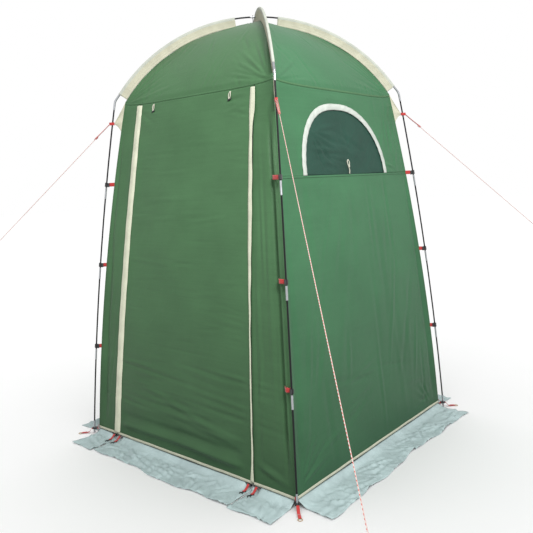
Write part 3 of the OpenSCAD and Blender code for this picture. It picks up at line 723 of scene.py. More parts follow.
def rod_look(name, colour):
    """Smooth lacquered glass fibre with faint scuffs"""
    look = Look(name, colour, 0.42, specular=0.10)
    solid = look.solid()
    scuff = look.streaks(solid, (60, 60, 4), 3, 5.0)
    look.drive("Roughness", look.span(scuff, 0.4, 0.75, 0.30, 0.50))
    look.drive("Base Color", look.varied(scuff, 0.62, 0.78, colour, 1, 2.2))
    look.bump(scuff, 0.00008)
    return look.material


def steel_look(name, colour):
    """Bright plated tube, drawn lengthwise, with small dull patches"""
    look = Look(name, colour, 0.28, metal=1.0)
    solid = look.solid()
    drawn = look.streaks(solid, (90, 90, 6), 8, 4.0)
    dull = look.noise(solid, 40, 4.0)
    look.drive("Roughness", look.span(dull, 0.35, 0.7, 0.22, 0.42))
    look.drive("Base Color", look.varied(drawn, 0.3, 0.7, colour, 0.85, 1.1))
    look.bump(drawn, 0.00005)
    return look.material


def moulded(name, colour, rough=0.48):
    """Moulded plastic with a fine spark-eroded grain"""
    look = Look(name, colour, rough, specular=0.5)
    solid = look.solid()
    grain = look.noise(solid, 900, 2.0)
    wear = look.noise(solid, 60, 4.0)
    look.drive("Base Color", look.varied(wear, 0.45, 0.75, colour, 1, 1.9))
    look.drive("Roughness", look.span(wear, 0.3, 0.7, rough - 0.1, rough + 0.12))
    look.bump(grain, 0.0001)
    return look.material


def cord_look(name, colour, fleck, share, pitch=0.011):
    """Braided cord with a tracer thread that comes and goes along it"""
    look = Look(name, colour, 0.7, specular=0.25)
    along, across, _ = look.axes(look.flat())
    turns, slant = look.times(along, 1 / pitch), look.times(across, 105)
    lean = look.math("ADD", turns, slant)
    tracer = look.math("LESS_THAN", look.math("FRACT", lean), share)
    plait = look.math("SINE", look.times(lean, 6 * math.pi))
    other = look.math("SUBTRACT", turns, slant)
    cross = look.math("SINE", look.times(other, 6 * math.pi))
    body = look.varied(plait, -1, 1, colour, 0.85, 1)
    look.drive("Base Color", look.blend(tracer, body, fleck))
    look.bump(look.times(plait, cross), 0.0003)
    return look.material


def mesh_look(name, colour):
    """Fine insect mesh, close enough to look like a dark cloth"""
    look = Look(name, colour, 0.6, specular=0.3)
    flat = look.flat()
    holes = look.threads(flat, 0.0016)
    mottle = look.noise(flat, 6, 3.0)
    body = look.varied(holes, 0.05, 0.5, colour, 0.55, 1.25)
    body = look.blend(look.span(mottle, 0.3, 0.7, 0, 0.35), body, shade(colour, 1.5))
    look.drive("Base Color", body)
    look.bump(look.noise(flat, 20, 4.0, 0.6, 0.5), 0.0014)
    look.bump(holes, 0.0003)
    return look.material


def floor_look(name, colour):
    look = Look(name, colour, 0.8, specular=0.1)
    body = look.blend(look.noise(look.solid(), 2.0, 3.0), shade(colour, 0.985), colour)
    look.drive("Base Color", body)
    return look.material


DOOR_GREEN = (0.053, 0.127, 0.056)
WINDOW_GREEN = (0.040, 0.124, 0.058)
CREAM = (0.46, 0.46, 0.36)
RED = (0.46, 0.020, 0.018)
BLACK = (0.012, 0.012, 0.013)

door_cloth = taffeta("door cloth", DOOR_GREEN)
light_cloth = taffeta("window cloth", WINDOW_GREEN)
flap_cloth = taffeta("flap cloth", (0.026, 0.060, 0.036), glow=0.04)
skirt_cloth = ground_cloth("skirt cloth", (0.30, 0.38, 0.38))
hem_tape = tape("hem tape", CREAM, 0.013)
cover_tape = tape("zip cover cloth", (0.52, 0.53, 0.41), 0.060)
white_tape = tape("window binding", (0.42, 0.45, 0.41), BINDING)
sleeve_cloth = tape("sleeve cloth", (0.50, 0.49, 0.38), 0.090, glow=0.25)
channel_cloth = tape("sleeve channel", (0.48, 0.50, 0.44), 0.090, glow=0.30)
red_webbing = webbing("red webbing", RED)
rod_paint = rod_look("glass fibre", (0.010, 0.010, 0.011))
plated = steel_look("plated steel", (0.42, 0.43, 0.45))
black_plastic = moulded("black plastic", BLACK)
zip_plastic = moulded("zip coil", (0.030, 0.050, 0.032), 0.4)
dark_paint = moulded("slider paint", (0.014, 0.014, 0.015), 0.35)
mesh_cloth = mesh_look("insect mesh", (0.008, 0.043, 0.028))
guy_look = cord_look("guy cord", (0.56, 0.50, 0.46), (0.42, 0.05, 0.04), 0.36)
hitch_look = cord_look("hitch cord", (0.48, 0.22, 0.20), (0.42, 0.05, 0.05), 0.38)
loop_look = cord_look("loop cord", (0.50, 0.49, 0.40), (0.42, 0.40, 0.33), 0.3, 0.006)
tan_look = cord_look("peg cord", (0.42, 0.31, 0.17), (0.28, 0.18, 0.08), 0.4, 0.006)
elastic_look = cord_look("elastic", (0.015, 0.015, 0.016), (0.05, 0.05, 0.05), 0.25, 0.005)

SLOT_LOOKS = {
    "rod": rod_paint,
    "steel": plated,
    "shock_cord": loop_look,
    "door_cloth": door_cloth,
    "light_cloth": light_cloth,
    "skirt_cloth": skirt_cloth,
    "trim": hem_tape,
    "webbing": red_webbing,
    "black_plastic": black_plastic,
    "zip": zip_plastic,
    "dark_metal": dark_paint,
    "mesh": mesh_cloth,
    "flap_cloth": flap_cloth,
    "peg_cord": tan_look,
    "guy_cord": guy_look,
    "tie": elastic_look,
}


def dress_cad_nodes():
    """Gives every node that stays in view its finished material and smooth round faces"""
    for entry in frame["record"]["subparts"]:
        node = frame["nodes"][entry["node"]]
        node.data.materials.clear()
        node.data.materials.append(SLOT_LOOKS[entry["material_slot"]])
        node.data.shade_smooth()
        node.data.set_sharp_from_angle(angle=math.radians(35))


def finished(piece, body, slot, *nodes):
    """Puts a piece on its body, in place of CAD nodes; its material slot is not used"""
    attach(piece, body)
    if nodes:
        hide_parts(*nodes)
    return piece


# ---- Camera ----

CAMERA_PLACE = (2.2414, -2.6592, 1.3856)
CAMERA_TURNS = (40.14, 7.92, -2.41)
SENSOR_MM, LENS_MM = 36, 42


def add_camera():
    """Looks at the corner between door and window, from a little to its right and 1.4 m up"""
    azimuth, height, roll = (math.radians(turn) for turn in CAMERA_TURNS)
    away = Vector((math.sin(azimuth), -math.cos(azimuth), 0))
    back = away * math.cos(height) + Vector((0, 0, math.sin(height)))
    flat = Vector((math.cos(azimuth), math.sin(azimuth), 0))
    upright = back.cross(flat)
    right = math.cos(roll) * flat + math.sin(roll) * upright
    up = -math.sin(roll) * flat + math.cos(roll) * upright
    data = bpy.data.cameras.new("camera")
    data.sensor_width = SENSOR_MM
    data.lens = LENS_MM
    camera = bpy.data.objects.new("camera", data)
    facing = Matrix((right, up, back)).transposed().to_4x4()
    camera.matrix_world = Matrix.Translation(CAMERA_PLACE) @ facing
    put_in_scene(camera)
    bpy.context.scene.camera = camera


add_camera()


# ---- Guy lines ----

# Past the single strand: [along the line, sideways], round an eye and back through the runner
GUY_END = mm([
    [40, 0], [120, 0], [190, 0], [206, -1], [222, -4], [238, -5], [249, -1], [253, 5], [249, 11], [238, 15],
    [222, 14], [206, 11], [190, 10], [120, 10], [60, 10],
])
KNOT_TURNS, KNOT_PITCH, KNOT_R, KNOT_START = 4, 0.0042, 0.0040, 0.088
# Name: corner, slope below the horizontal in degrees, length of the single strand, whole length
GUYS = {
    "left": (LEFT, 43.4, 0.830, 1.29),
    "right": (RIGHT, 40.6, 0.960, 1.42),
    "front": (FRONT, 37.1, 1.780, 2.24),
}


def guy_frame(name):
    """Where a guy line leaves its webbing, the way it runs, the way sideways and the way up from it"""
    corner, slope, _, _ = GUYS[name]
    turn, dip = math.radians(corner), math.radians(slope)
    outwards = np.array([math.cos(turn), math.sin(turn), 0])
    start = outwards * (leg_radial(corner, GUY_Z) + GUY_OUT) + np.array([0, 0, GUY_Z - 0.005])
    along = outwards * math.cos(dip) - np.array([0, 0, math.sin(dip)])
    sideways = np.array([-math.sin(turn), math.cos(turn), 0])
    return start, along, sideways, np.cross(along, sideways)


def add_guy_line(name):
    start, along, sideways, _ = guy_frame(name)
    reach, length = GUYS[name][2:]
    straight = [[reach * i / 12, 0] for i in range(12)]
    route = straight + [[reach + a, b] for a, b in GUY_END]
    path = smooth_path([start + a * along + b * sideways for a, b in route], 4)
    line = tubes("guy_line_" + name + "_cord", [path], GUY_D / 2, guy_look)
    finished(line, "tent", "guy_cord", "guy_line_" + name)
    hitch = add_hitch(name)


def add_hitch(name):
    """The doubled start of a guy line: round the webbing loop, back along the line, and a knot"""
    start, along, sideways, over = guy_frame(name)
    points = mm([
        (112, 0, 4), (85, 3.4, 2), (45, 4.2, 0), (12, 4, 0), (-3, 4, 0), (-6, 0, 4),
        (-3, -4, 0), (12, -4, 0), (45, -4.2, 0), (85, -3.4, 2), (104, 0, 4.2),
    ])
    strand = smooth_path([start + a * along + b * sideways + c * over for a, b, c in points], 5)
    knot = []
    for wound in np.linspace(0, KNOT_TURNS, 49):
        turn = 2 * math.pi * wound
        middle = start + (KNOT_START + KNOT_PITCH * wound) * along
        knot.append(middle + KNOT_R * (math.cos(turn) * sideways + math.sin(turn) * over))
    piece = tubes("guy_hitch_" + name, [strand, knot], 0.0016, hitch_look)
    return finished(piece, "tent", "guy_cord")


for guy_name in GUYS:
    add_guy_line(guy_name)


# ---- Walls ----


def add_sheet(cloth, node, looks, body, slot, name=None):
    piece = finished(cloth.build(name or node + "_cloth", *looks), body, slot, node)


def past_left(z):
    return -cabin_half(z)


def past_right(z):
    return cabin_half(z)


def beside(line, gap):
    """A line that runs at a distance from another"""
    return lambda t: line(t) + gap


def level(height):
    return lambda x: height + 0 * x


def seam_out(u, v):
    return 0.0009 + 0.0005 * np.sin(math.pi * v) + 0 * u


ZIP_GAP = 0.0034
WHOLE = (past_left, past_right)
LEFT_STRIP = (past_left, beside(zip_left, -ZIP_GAP))
DOOR_STRIP = (beside(zip_left, ZIP_GAP), beside(zip_right, -ZIP_GAP))
RIGHT_STRIP = (beside(zip_right, ZIP_GAP), past_right)


def add_front_wall():
    """The zipped door and the two narrow panels beside it"""
    # Name, node, body, ends, columns, width of the cut, how it's held
    strips = (
        ("door_cloth", "door_panel", "door", DOOR_STRIP, 141, 0.986, "hung"),
        ("front_cloth_left", "front_panel_left", "tent", LEFT_STRIP, 31, 0.170, "stretched"),
        ("front_cloth_right", "front_panel_right", "tent", RIGHT_STRIP, 73, 0.244, "stretched"),
    )
    for name, node, body, ends, columns, width, held in strips:
        cloth = Cloth().patch(*wall_grid(DOOR_SIDE, ends, hem_line, eave_line, columns, 251, front_relief))
        add_sheet(cloth, node, [door_cloth], body, "door_cloth", name)


def add_plain_wall(node, side, seed):
    cloth = Cloth().patch(*wall_grid(side, WHOLE, hem_line, eave_line, 151, 191, plain_relief(seed)))
    add_sheet(cloth, node, [door_cloth], "tent", "door_cloth")


def add_window_wall():
    """The lower part of the window wall, and the upper part with its arched opening"""
    grid = wall_grid(WINDOW_SIDE, WHOLE, hem_line, level(WINDOW_Z - 0.0002), 191, 193, window_relief)
    lower = Cloth().patch(*grid)
    add_sheet(lower, "window_wall_lower", [light_cloth], "tent", "light_cloth")
    points, uv = wall_grid(WINDOW_SIDE, WHOLE, level(WINDOW_Z), eave_line, 191, 71, window_relief)
    middle = (uv[1:, 1:] + uv[:-1, :-1]) / 2
    inner = -BINDING + 0.012
    keep = window_arch(middle[..., 0], middle[..., 1], inner) > 1
    upper = Cloth().patch(on_to_arch(points, uv, keep, inner), uv, keep)
    add_sheet(upper, "window_wall_upper", [light_cloth], "tent", "light_cloth")


def on_to_arch(points, uv, keep, grow):
    """Moves the ragged edge of the opening onto its arch"""
    kept, cut = np.zeros(uv.shape[:2], bool), np.zeros(uv.shape[:2], bool)
    rows, columns = keep.shape
    for i, j in ((0, 0), (0, 1), (1, 0), (1, 1)):
        kept[i : i + rows, j : j + columns] |= keep
        cut[i : i + rows, j : j + columns] |= ~keep
    rim = kept & cut
    ratio = window_arch(uv[..., 0], uv[..., 1], grow)
    x = WINDOW_SHIFT + (uv[..., 0] - WINDOW_SHIFT) / ratio
    z = WINDOW_Z + (uv[..., 1] - WINDOW_Z) / ratio
    moved = turned(WINDOW_SIDE, x, cabin_half(z), z)
    return np.where(rim[..., None], moved, points)


def arch_grid(inner, outer, columns, rows, relief, out):
    """A band or a whole half ellipse round the window's lower middle, between two scales of its arch"""
    t = np.linspace(0, math.pi, columns)[::-1][None, :]
    u = np.linspace(0, 1, rows)[:, None]
    a = inner[0] + (outer[0] - inner[0]) * u
    b = inner[1] + (outer[1] - inner[1]) * u
    x = WINDOW_SHIFT + a * arch_across(t)
    z = WINDOW_Z + b * np.sin(t)
    offset = relief(x, z) + (out(u, t) if callable(out) else out)
    base = turned(WINDOW_SIDE, x, cabin_half(z), z)
    return base + normal_out(base) * offset[..., None], x, z


def normal_out(base):
    """Unit normals of a grid on the window wall, turned to the outside"""
    normal = grid_normals(base)
    return normal * np.sign(normal[..., :1] + 1e-9)


MESH_CREASES = (
    (33, 12, (-0.30, 0.10, 1.43, 1.60), -12, 10, (60, 160), (8, 16), (1.5, 3.5)),
    (34, 6, (0.0, 0.30, 1.43, 1.60), 60, 20, (50, 120), (10, 18), (1, 2)),
)


def mesh_relief(x, z):
    total = swell(x, z, 31, 0.35, 0.003)
    total += fan(x, z, 32, (-0.30, 1.60), -60, 10, 5, 0.34, 0.012, 0.0042)
    for row in MESH_CREASES:
        total += creases(x, z, *row)
    inside = 1 - ramp(window_arch(x, z, -BINDING), 0.80, 0.98)
    return total * inside * ramp(z, WINDOW_Z, WINDOW_Z + 0.03)


def flap_relief(x, z):
    return 0.9 * mesh_relief(x, z)


def add_window():
    """Mesh, the flap behind it, the binding round it and its tie"""
    # Node, body, slot, look, how far under the binding, how far out of the wall, relief
    panes = (
        ("window_mesh", "tent", "mesh", mesh_cloth, 0.008, -0.0036, mesh_relief),
        ("window_flap", "window_flap", "flap_cloth", flap_cloth, 0.014, -0.0074, flap_relief),
    )
    for node, body, slot, look, grow, out, relief in panes:
        wide, high = WINDOW_HALF - BINDING + grow, WINDOW_HIGH - BINDING + grow
        points, x, z = arch_grid((0.004, 0.002), (wide, high), 97, 49, relief, out)
        cloth = Cloth(0.0006).patch(points, stacked(x, z))
        add_sheet(cloth, node, [look], body, slot)

    def crown(u, t):
        return 0.0012 + 0.0022 * np.sin(math.pi * np.clip(u, 0.04, 0.96)) + 0.0006 * np.sin(46 * t + 5 * u)

    outer = (WINDOW_HALF, WINDOW_HIGH)
    inner = (WINDOW_HALF - BINDING, WINDOW_HIGH - BINDING)
    points, x, z = arch_grid(inner, outer, 161, 9, no_relief, crown)
    length = 1.13
    t = np.linspace(0, length, 161)[None, :] + 0 * x
    u = np.linspace(-BINDING / 2, BINDING / 2, 9)[:, None] + 0 * x
    cloth = Cloth(0.0008).patch(points, stacked(u, t))
    finished(cloth.build("window_binding_tape", white_tape), "tent", "trim", "window_binding")
    add_window_tie()


def add_window_tie():
    """Two short loops of tape and a knot at the middle of the sill, for the rolled flap"""
    middle = WINDOW_SHIFT - 0.005
    front = float(wall_half(WINDOW_Z)) + 0.0046

    def placed(points):
        x, z, out = mm(points).T
        return smooth_path(turned(WINDOW_SIDE, middle + x, front + out - 0.10 * z, WINDOW_Z + z), 6)

    tail = placed([(6, 2, -1), (7, 16, 1), (3, 30, 2), (-2, 40, 3)])
    loop = placed([(-2, 36, 3), (6, 48, 4), (7, 62, 3), (-1, 70, 3), (-9, 62, 3), (-8, 48, 4), (-1, 38, 4)])
    knot = placed([(-6, 34, 4), (3, 37, 6), (2, 42, 4), (-6, 40, 3)])
    piece = tubes("window_tie_tape", [tail, loop, knot], 0.0024, loop_look)
    finished(piece, "tent", "trim", "window_tie")


add_front_wall()
add_plain_wall("left_wall", LEFT_SIDE, 41)
add_plain_wall("back_wall", BACK_SIDE, 51)
add_window_wall()
add_window()


# ---- Roof ----


def roof_grid(side, relief, columns=141, rows=121):
    """One gore, from its eave to the crown"""
    u = np.linspace(-1, 1, columns)[None, :]
    lowest = math.acos((EAVE_Z - ARCH_Z) / RIDGE_R)
    turn = lowest * (1 - np.linspace(0, 1, rows)[:, None]) + 0.0006
    z = ARCH_Z + RIDGE_R * np.cos(turn) + 0 * u
    x = np.minimum(cabin_half(z), roof_half(z)) * u
    lift = (eave_line(x) - EAVE_Z + 0.0006) * (1 - ramp(z, EAVE_Z, EAVE_Z + 0.06))
    z = z + lift
    half = np.minimum(wall_half(z), roof_half(z))
    x = half * u
    base = turned(side, x, half, z)
    s = RIDGE_R * (lowest - turn) + 0 * u
    return base + grid_normals(base) * relief(x, s)[..., None], stacked(x, s)


def add_roof():
    """Four gores and the flat seam along each eave"""
    # Node, side, seed, liveliness of the folds, look, slot
    gores = (
        ("roof_front", DOOR_SIDE, 61, 1.3, door_cloth, "light_cloth"),
        ("roof_right", WINDOW_SIDE, 71, 0.8, light_cloth, "door_cloth"),
        ("roof_back", BACK_SIDE, 81, 0.9, door_cloth, "door_cloth"),
        ("roof_left", LEFT_SIDE, 91, 0.9, door_cloth, "door_cloth"),
    )
    for node, side, seed, lively, look, slot in gores:
        gore = Cloth().patch(*roof_grid(side, roof_relief(seed, lively)))
        add_sheet(gore, node, [look], "tent", slot)
    eaves = Cloth(0.0007)
    low, high = beside(eave_line, 0.0012), beside(eave_line, 0.0098)
    for side in (DOOR_SIDE, WINDOW_SIDE, BACK_SIDE, LEFT_SIDE):
        eaves.patch(*wall_grid(side, WHOLE, low, high, 121, 4, no_relief, seam_out))
    finished(eaves.build("eave_seams", door_cloth), "tent", "door_cloth")
    low, high = level(WINDOW_Z - 0.010), level(WINDOW_Z - 0.001)
    seam = wall_grid(WINDOW_SIDE, WHOLE, low, high, 121, 4, window_relief,
                     lambda u, v: seam_out(u, v) + 0.0001)
    finished(Cloth(0.0007).patch(*seam).build("window_seam", light_cloth), "tent", "light_cloth")


def add_corner_seams():
    """The bound seam up each corner of the cabin"""
    heights = np.linspace(0.040, SHOULDER_Z, 90)
    radial = cabin_half(heights) * ROOT2 - 0.0006
    paths = [corner_points(corner, radial, heights) for corner in CORNERS]
    finished(tubes("corner_seams", paths, 0.0021, door_cloth), "tent", "door_cloth")


add_roof()
add_corner_seams()


# ---- Sleeves and gussets ----

GUSSET_LOW, GUSSET_HIGH = 1.674, 1.828
CHANNEL_HIGH = 0.038
# Half of the sleeve's outline, from the ridge to the top of the pole: [height above the ridge, out sideways]
SLEEVE_OUTLINE = mm([
    [0.5, 1], [10, 1.1], [19, 1.6], [27, 3], [34, 4.9], [40, 6.2],
    [44.5, 6.8], [48.3, 6], [50.8, 3.6], [51.8, 0],
])


def sleeve_grid(corner, turns, seed):
    """Cloth folded over the pole, from the ridge seam up one side and down the other"""
    half = smooth_path(SLEEVE_OUTLINE, 2)
    outline = np.concatenate([half * [1, -1], half[::-1][1:]])
    extra = arch_radius(corner) - ARCH_R
    stretch = (SLEEVE_DEPTH + extra) / SLEEVE_DEPTH
    t = turns[None, :]
    high = outline[:, :1]
    near_pole = np.where(high > 0.034, high + extra, high * stretch)
    sides = outline[:, 1:] * (1 + 0.10 * np.sin(140 * t + seed) * (high < 0.04))
    pucker = 0.0008 * np.sin(90 * t + 3 * seed) * np.sin(math.pi * np.clip(high / 0.04, 0, 1))
    radius = RIDGE_R + near_pole
    radial = radius * np.sin(t)
    z = ARCH_Z + radius * np.cos(t)
    points = corner_points(corner, radial, z, sides + pucker)
    run = run_of(outline)
    uv = np.stack(np.meshgrid(run - run[-1] / 2, turns * RIDGE_R, indexing="ij"), axis=-1)
    return points, uv, high


def add_sleeves():
    limit = math.radians(54.3)
    bare = math.radians(7.2)
    for name, corner, spans in (
        ("sleeve_a", RIGHT, ((bare, limit), (-limit, -bare))),
        ("sleeve_b", FRONT, ((-limit, limit),)),
    ):
        cloth = Cloth(0.0005)
        for seed, (start, end) in enumerate(spans):
            turns = np.linspace(start, end, int(abs(end - start) / 0.010))
            points, uv, high = sleeve_grid(corner, turns, seed)
            rows = np.repeat((high[:-1, 0] + high[1:, 0]) / 2, len(turns) - 1)
            cloth.patch(points, uv, slot=(rows > CHANNEL_HIGH).astype(int))
        add_sheet(cloth, name, [sleeve_cloth, channel_cloth], "tent", "trim")


def add_gussets():
    """Triangles of thin cloth between the shoulders and the guy loops"""
    cloth = Cloth(0.0006)
    for corner in CORNERS:
        tip = leg_radial(corner, GUY_Z) - 0.012
        u = np.linspace(0, 1, 15)[None, :]
        v = np.linspace(0, 1, 31)[:, None]
        z_in = GUSSET_LOW + (GUSSET_HIGH - GUSSET_LOW) * v
        z_out = GUY_Z - 0.006 + 0.012 * v
        inner = cabin_half(z_in) * ROOT2 + 0.001
        radial = inner + (tip - inner) * u
        bow = 4 * u * (1 - u)
        z = z_in + (z_out - z_in) * u + bow * (0.008 * (1 - v) - 0.003 * v)
        side = 0.0025 * np.sin(9 * v + corner) * bow
        uv = stacked(radial + 0 * v, z)
        cloth.patch(corner_points(corner, radial + 0 * z, z, side), uv)
    add_sheet(cloth, "shoulder_gussets", [sleeve_cloth], "tent", "trim",
              name="shoulder_gusset_cloth")


add_sleeves()
add_gussets()


# ---- Hem tape and mud skirts ----


def hem_out(u, v):
    return 0.0016 + 0.0009 * np.sin(math.pi * v) + 0.0003 * np.sin(60 * u)


def hem_tape_grid(side, ends, columns, relief):
    """The tape over the lower edge of a wall, with flat coordinates across it and along it"""
    low, high = beside(hem_line, -0.0035), beside(hem_line, 0.010)
    points, uv = wall_grid(side, ends, low, high, columns, 7, relief, hem_out)
    across = uv[..., 1] - hem_line(uv[..., 0]) - 0.0035
    return points, stacked(across, uv[..., 0])


def add_hems():
    """The tape round the foot of the walls and the door's own"""
    bands = (
        ("hem_band", "tent", "hem_tape", (
            (DOOR_SIDE, LEFT_STRIP, 31, front_relief),
            (DOOR_SIDE, RIGHT_STRIP, 73, front_relief),
            (WINDOW_SIDE, WHOLE, 191, window_relief),
            (BACK_SIDE, WHOLE, 151, plain_relief(51)),
            (LEFT_SIDE, WHOLE, 151, plain_relief(41)),
        )),
        ("door_hem_band", "door", "door_hem", ((DOOR_SIDE, DOOR_STRIP, 141, front_relief),)),
    )
    for name, body, node, stretches in bands:
        band = Cloth(0.0010)
        for stretch in stretches:
            band.patch(*hem_tape_grid(*stretch))
        finished(band.build(name, hem_tape), body, "trim", node)


SKIRT_TOP = 0.0282
HOOK_STEP = 0.024
HOOK_OUT = 0.0327
HOOKS = [float(line(ZIP_FOOT_Z)) + step for line in (zip_left, zip_right) for step in (-HOOK_STEP, HOOK_STEP)]


def skirt_grid(side, x0, x1, seed, flare):
    """A strip that slopes from the hem to the ground and lies there in creases, with a wavy outer edge"""
    columns = max(24, int((x1 - x0) / 0.008))
    u = np.linspace(0, 1, columns)[None, :]
    v = np.linspace(0, 1, 27)[:, None]
    rng = np.random.default_rng(seed)
    x = x0 + (x1 - x0) * u + v * (flare[0] * (1 - u) + flare[1] * u)
    phase = rng.uniform(0, 6.3, 4)
    edge = 0.172 + 0.010 * np.sin(5.1 * x + phase[0]) + 0.007 * np.sin(13 * x + phase[1])
    edge = edge + 0.004 * np.sin(31 * x + phase[2])
    out = 0.0020 + edge * v
    slope_end = 0.050 + 0.012 * np.sin(9 * x + phase[3])
    hooks = sum(np.exp(-(((x - place) / 0.022) ** 4)) for place in HOOKS) if side == DOOR_SIDE else 0 * x
    slope_end = slope_end + (0.002 - slope_end) * hooks
    fall = SKIRT_TOP * (1 - ramp(out, -0.012, slope_end))
    width = x1 - x0
    inner, outer = (x0, x1, 0.03, 0.18), (x0, x1, 0.05, 0.18)
    crumple = creases(x, out, seed + 1, int(60 * width) + 6, inner, 70, 34, (20, 80), (5, 11), (2, 5.2))
    crumple += creases(x, out, seed + 2, int(16 * width) + 2, outer, 8, 14, (50, 140), (7, 13), (2, 4.8))
    crumple += swell(x, out, seed + 3, 0.16, 0.0065) + 0.0035
    lies = ramp(out, 0.012, 0.06) * (1 - 0.9 * hooks * ramp(0.075 - out, 0, 0.02))
    z = fall + np.maximum(0, crumple) * lies * 1.15 + 0.0012
    points = turned(side, x, HEM_HALF - 0.0012 + out, z)
    return points[::-1], stacked(x, out)[::-1]


def add_skirts():
    half = HEM_HALF - 0.009
    # Node, side, first and last x, seed, how far the outer corners reach past them
    strips = (
        ("skirt_front_left", DOOR_SIDE, -half, -0.536, 101, (-0.012, 0.0)),
        ("door_skirt", DOOR_SIDE, -0.530, 0.457, 111, (0.0, 0.0)),
        ("skirt_front_right", DOOR_SIDE, 0.463, half, 121, (0.0, 0.012)),
        ("skirt_right", WINDOW_SIDE, -half, half, 131, (-0.012, 0.014)),
        ("skirt_back", BACK_SIDE, -half, half, 141, (-0.012, 0.012)),
        ("skirt_left", LEFT_SIDE, -half, half, 151, (-0.012, 0.012)),
    )
    for node, side, x0, x1, seed, flare in strips:
        strip = Cloth(0.0009).patch(*skirt_grid(side, x0, x1, seed, flare))
        body = "door" if node == "door_skirt" else node
        add_sheet(strip, node, [skirt_cloth], body, "skirt_cloth")


add_hems()
add_skirts()


# ---- Zips, covers and toggles ----

ZIP_LOW = 0.040


def left_cover_out(u, v):
    """Free edge on the left, sewn edge on the right"""
    return 0.0062 + 0.0016 * np.sin(math.pi * u) - 0.0040 * ramp(u, 0.65, 1) + 0.0006 * np.sin(70 * v + 2 * u)


def right_cover(z):
    """Left edge before the zip's line, and width, of the right cover: it turns edge-on down its length"""
    heights = [0.04, 0.12, 0.25, 0.75, 1.00, 1.25, 1.49, 1.58, 1.63, 1.69, 1.80]
    before = [0.016, 0.006, 0.004, 0.0065, 0.0125, 0.016, 0.018, 0.018, 0.020, 0.021, 0.020]
    wide = [0.024, 0.014, 0.012, 0.0115, 0.020, 0.026, 0.024, 0.019, 0.024, 0.034, 0.030]
    return np.interp(z, heights, before), np.interp(z, heights, wide) + 0.0008 * np.sin(41 * z)


def right_cover_half(z):
    return right_cover(z)[1] / 2


def right_cover_middle(z):
    return zip_right(z) - right_cover(z)[0] + right_cover_half(z)


def right_cover_out(u, v):
    """Sewn edge on the left, the free edge lifted and rolled on the right"""
    return 0.0032 + 0.0042 * ramp(u, 0, 0.4) + 0.0006 * np.sin(55 * v)


def add_zip_covers():
    covers = Cloth(0.0009)
    # Middle line, half width, columns, how far out
    covers_of = (
        (zip_left, lambda z: 0.0185 + 0.0035 * (EAVE_Z - z) / EAVE_Z, 15, left_cover_out),
        (right_cover_middle, right_cover_half, 13, right_cover_out),
    )
    for middle, half, columns, out in covers_of:
        ends = (lambda z: middle(z) - half(z), lambda z: middle(z) + half(z))
        low, high = level(ZIP_LOW), level(HINGE_Z - 0.004)
        points, uv = wall_grid(DOOR_SIDE, ends, low, high, columns, 251, front_relief, out)
        covers.patch(points, stacked(uv[..., 0] - middle(uv[..., 1]), uv[..., 1]))
    finished(covers.build("zip_cover_cloth", cover_tape), "door", "trim", "zip_covers")


def add_zip_coils():
    """Rows of bent teeth down both zips, all in one piece"""
    pitch = 0.0052
    count = int((HINGE_Z - ZIP_LOW) / pitch)
    points, faces = [], []
    for line in (zip_left, zip_right):
        for i in range(count):
            z = 0.036 + i * pitch
            x, out = float(line(z)), float(wall_half(z))
            side = 0.7 if i % 2 else -0.7
            start = len(points)
            for dz in (-0.0016, 0.0016):
                for dx, up in mm([(-3, -1.2), (-2.6, 0.4), (side, 0.7), (2.6, 0.4), (3, -1.2)]):
                    points.append((x + dx, -(out + up), z + dz + 0.25 * dx))
            faces += [[start + k, start + k + 1, start + k + 6, start + k + 5] for k in range(4)]
            faces += [[start + 4, start, start + 5, start + 9]]
            faces += [[start + k for k in (4, 3, 2, 1, 0)], [start + k for k in (5, 6, 7, 8, 9)]]
    piece = make_mesh("zip_coil_teeth", np.array(points), faces, [zip_plastic], smooth=False)
    finished(piece, "tent", "zip", "zip_coils")


def add_toggle_loop(name, x):
    """A flat loop of elastic that hangs from the door's top seam and holds a toggle"""
    z = 1.791
    out = float(wall_half(z)) + 0.0040
    points = mm([(-2.2, 0.5, -2), (-4.8, -10, 0.6), (-5.2, -20, 1), (-3, -30, 1), (0, -33.5, 1),
                 (3, -30, 1), (5.2, -20, 1), (4.8, -10, 0.6), (2.2, 0.5, -2)])
    lean = 0.118
    path = smooth_path([(x + a + 0.10 * b, -(out + c - lean * b), z + b) for a, b, c in points], 5)
    piece = tubes("toggle_cord_" + name, [path], 0.0020, loop_look, 10)
    finished(piece, "door_toggle_" + name, "trim", "toggle_loop_" + name)


add_zip_covers()
add_zip_coils()
add_toggle_loop("left", -0.270)
add_toggle_loop("right", 0.262)


# ---- Straps ----

CLIP_HEIGHTS = (0.505, 0.960, 1.395)
CLIP_REACH = 0.0156
CLIP_STRAP_WIDE, CORNER_STRAP_WIDE, PEG_TAB_WIDE = 0.020, 0.014, 0.013


def over_roll(profile, seam, end):
    """Leads a front strap over the roll of cloth to its seam on the door's side of the corner"""
    led = []
    for radial, side in profile:
        back = min(1, max(0, (end - 0.002 - radial) / (end - 0.002 - seam)))
        lift = 0.040 * back * (1 - back)
        led.append((radial - 0.019 * back + lift, side - 0.021 * back - lift))
    return led


